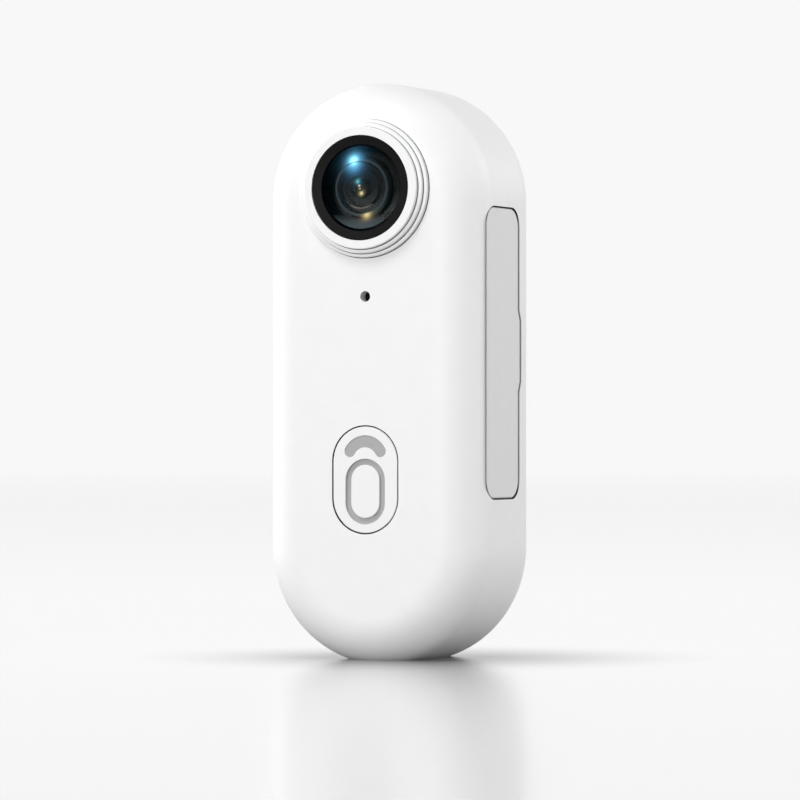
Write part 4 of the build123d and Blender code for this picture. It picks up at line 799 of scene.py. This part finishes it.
def groove_shade(name, radius, front, depth, lip):
    """A dark ring of painted shade in the groove at the root of one of the lens ring's steps.

    It feathers out a little over the face of the next step, and is thinner at its
    top, where the painted shade is fainter."""
    profile = (
        (radius - depth, front + SHADE_LINE_INSET),
        (radius - SHADE_LINE_EDGE, front + SHADE_LINE_INSET),
        (radius + lip, front + SHADE_LINE_WIDTH),
        (radius - depth, front + SHADE_LINE_WIDTH),
    )
    vertices = []
    for i in range(SHADE_LINE_SIDES):
        angle = 2 * math.pi * i / SHADE_LINE_SIDES
        thinning = SHADE_LINE_THINNING * lip * max(0.0, math.sin(angle))
        for r, y in profile:
            if r > radius:
                r -= thinning
            vertices.append((r * math.cos(angle), y, LENS_HEIGHT + r * math.sin(angle)))
    shade_line = piece(name, vertices, loop_faces(SHADE_LINE_SIDES, len(profile)), painted_groove_shade)


def coating_cap(name, apex, radius, reach, colour, strength, rough, notch=None, low=None):
    """A thin curved coating inside the front glass, seen only by its reflection.

    It reaches from one distance off the lens axis to another. A positive radius
    bulges towards the front, and a negative one is hollow."""
    vertices, faces = [], []
    for i in range(CAP_RINGS + 1):
        r = reach[0] + (reach[1] - reach[0]) * i / CAP_RINGS
        sag = abs(radius) - math.sqrt(radius * radius - r * r)
        depth = apex + math.copysign(sag, radius)
        for j in range(CAP_SIDES):
            angle = 2 * math.pi * j / CAP_SIDES
            vertices.append((r * math.cos(angle), depth, LENS_HEIGHT + r * math.sin(angle)))
    for i in range(CAP_RINGS):
        faces += quad_band(i * CAP_SIDES, CAP_SIDES)
    cap = piece(name, vertices, faces, coating(f"{name}_film", colour, strength, rough, notch, low))
    return cap


def rim(name, depth, reach, colour, strength, low):
    """A faint flat ring deeper in the lens."""
    return coating_cap(name, depth, RIM_RADIUS, reach, colour, strength, RIM_ROUGHNESS, low=low)


button_bead()
flap_bead()
for number, height in enumerate(STRAP_HEIGHTS):
    strap(f"flap_strap_{number + 1}", height)
contacts()
seam_line()
# Dark lines of painted shade round the lens ring's steps and foot
for shade_line in SHADE_LINES:
    groove_shade(*shade_line)
caps = [coating_cap(*cap) for cap in CAPS]
glow = coating_cap(*GLOW_CAP)
haze = coating_cap(*HAZE_CAP)
rims = [rim(*row) for row in RIMS]
glass = [frame["nodes"][f"lens_element_{number}"] for number in range(1, 6)]


# Floor, lights and camera

def length(tree, vector):
    """How long a vector is."""
    return add_node(tree, "ShaderNodeVectorMath", {"operation": "LENGTH"}, Vector=vector).outputs["Value"]


def floor_material():
    """Pale and softly glossy, with a soft shadow painted under the object, where its coat also fades, and
    clear far from it.

    Light that bounces off it onto the object is weaker than its own look."""
    material, tree, shader = new_material("floor")
    far = length(tree, place(tree))
    plug(tree, shader.inputs["Alpha"], spread(tree, far, 1.0, 0.0, *FLOOR_FADE))
    # A soft shadow painted round the object's foot: darker, and without coat, close under it
    shift = add_node(tree, "ShaderNodeMapping", Vector=place(tree), Location=(-SHADE_MIDDLE, 0, 0))
    shade = soft_step(tree, length(tree, shift.outputs["Vector"]), *SHADE_STRETCH)
    pale = tint(tree, shade, grey(SHADE_GREY), grey(FLOOR_GREY))
    bounce = tree.nodes.new("ShaderNodeLightPath").outputs["Is Diffuse Ray"]
    plug(tree, shader.inputs["Base Color"], mix(tree, bounce, pale, grey(FLOOR_BOUNCE_GREY)))
    plug(tree, shader.inputs["Coat Weight"], shade)
    shader.inputs["Coat Roughness"].default_value = 0.2
    shader.inputs["Roughness"].default_value = 0.2
    return material


def disc_floor():
    """A round floor that fades out far from the object, so no edge shows."""
    work = bmesh.new()
    bmesh.ops.create_circle(work, cap_ends=True, radius=FLOOR_RADIUS, segments=FLOOR_SIDES)
    mesh = bpy.data.meshes.new("floor")
    work.to_mesh(mesh)
    work.free()
    mesh.materials.append(floor_material())
    disc = bpy.data.objects.new("floor", mesh)
    bpy.context.scene.collection.objects.link(disc)
    return disc


def world():
    """A pale backdrop for the eye and for gloss, and a softer even light.

    Gloss behind a clear surface, as on the coatings inside the lens, mirrors a
    darker backdrop, which keeps the glass free of specks."""
    scene_world = bpy.data.worlds.new("world")
    bpy.context.scene.world = scene_world
    scene_world.use_nodes = True
    tree = scene_world.node_tree
    background = tree.nodes["Background"]
    background.inputs["Color"].default_value = (1, 1, 1, 1)
    path = tree.nodes.new("ShaderNodeLightPath").outputs
    seen = calc(tree, "MAXIMUM", path["Is Camera Ray"], path["Is Glossy Ray"])
    plain = spread(tree, seen, AMBIENT, BACKDROP)
    inner = calc(tree, "MULTIPLY", path["Is Glossy Ray"], above(tree, path["Transparent Depth"], 0.5))
    outer = calc(tree, "SUBTRACT", 1.0, inner)
    dim = calc(tree, "MULTIPLY", inner, GLASS_BACKDROP)
    plug(tree, background.inputs["Strength"], calc(tree, "ADD", calc(tree, "MULTIPLY", plain, outer), dim))


def softbox(name, azimuth, rise, distance, size, power):
    """A round area light aimed at the object's middle."""
    data = bpy.data.lights.new(name, "AREA")
    data.shape = "DISK"
    data.size = size
    data.energy = power
    light = bpy.data.objects.new(name, data)
    bpy.context.scene.collection.objects.link(light)
    turn, up = math.radians(azimuth), math.radians(rise)
    way = Vector((math.sin(turn) * math.cos(up), -math.cos(turn) * math.cos(up), math.sin(up)))
    light.location = way * distance + LIGHTS_AIM
    light.rotation_euler = way.to_track_quat("Z", "Y").to_euler()
    return light


def light_group(name, things, state):
    """A group of things that lights reach, or that they leave out."""
    group = bpy.data.collections.new(name)
    for thing in things:
        group.objects.link(thing)
    for entry in group.collection_objects:
        entry.light_linking.link_state = state
    return group


def only_lights(light, things):
    """Keeps a light to the things it is meant for."""
    light.light_linking.receiver_collection = light_group(f"{light.name}_group", things, "INCLUDE")


def camera():
    """The camera at the photograph's angle, nearly level."""
    azimuth = math.radians(CAMERA_AZIMUTH)
    data = bpy.data.cameras.new("camera")
    data.sensor_width = SENSOR_WIDTH
    data.lens = FOCAL_LENGTH * SENSOR_WIDTH
    data.clip_start = 0.01
    data.clip_end = 20
    view = bpy.data.objects.new("camera", data)
    bpy.context.scene.collection.objects.link(view)
    across, back = math.sin(azimuth), -math.cos(azimuth)
    view.location = (CAMERA_DISTANCE * across, CAMERA_DISTANCE * back, CAMERA_HEIGHT)
    view.rotation_euler = (math.radians(90 + CAMERA_TILT), 0, azimuth)
    bpy.context.scene.camera = view


world()
floor = disc_floor()
left_out = light_group("left_out", caps + [glow, haze] + rims + glass + [floor], "EXCLUDE")
for light in LIGHTS:
    softbox(*light).light_linking.receiver_collection = left_out
only_lights(softbox(*FLOOR_LIGHT), [floor])
only_lights(softbox(*GLASS_LIGHT), caps)
only_lights(softbox(*GLOW_LIGHT), [glow])
camera()
bpy.context.scene.view_settings.view_transform = "Standard"
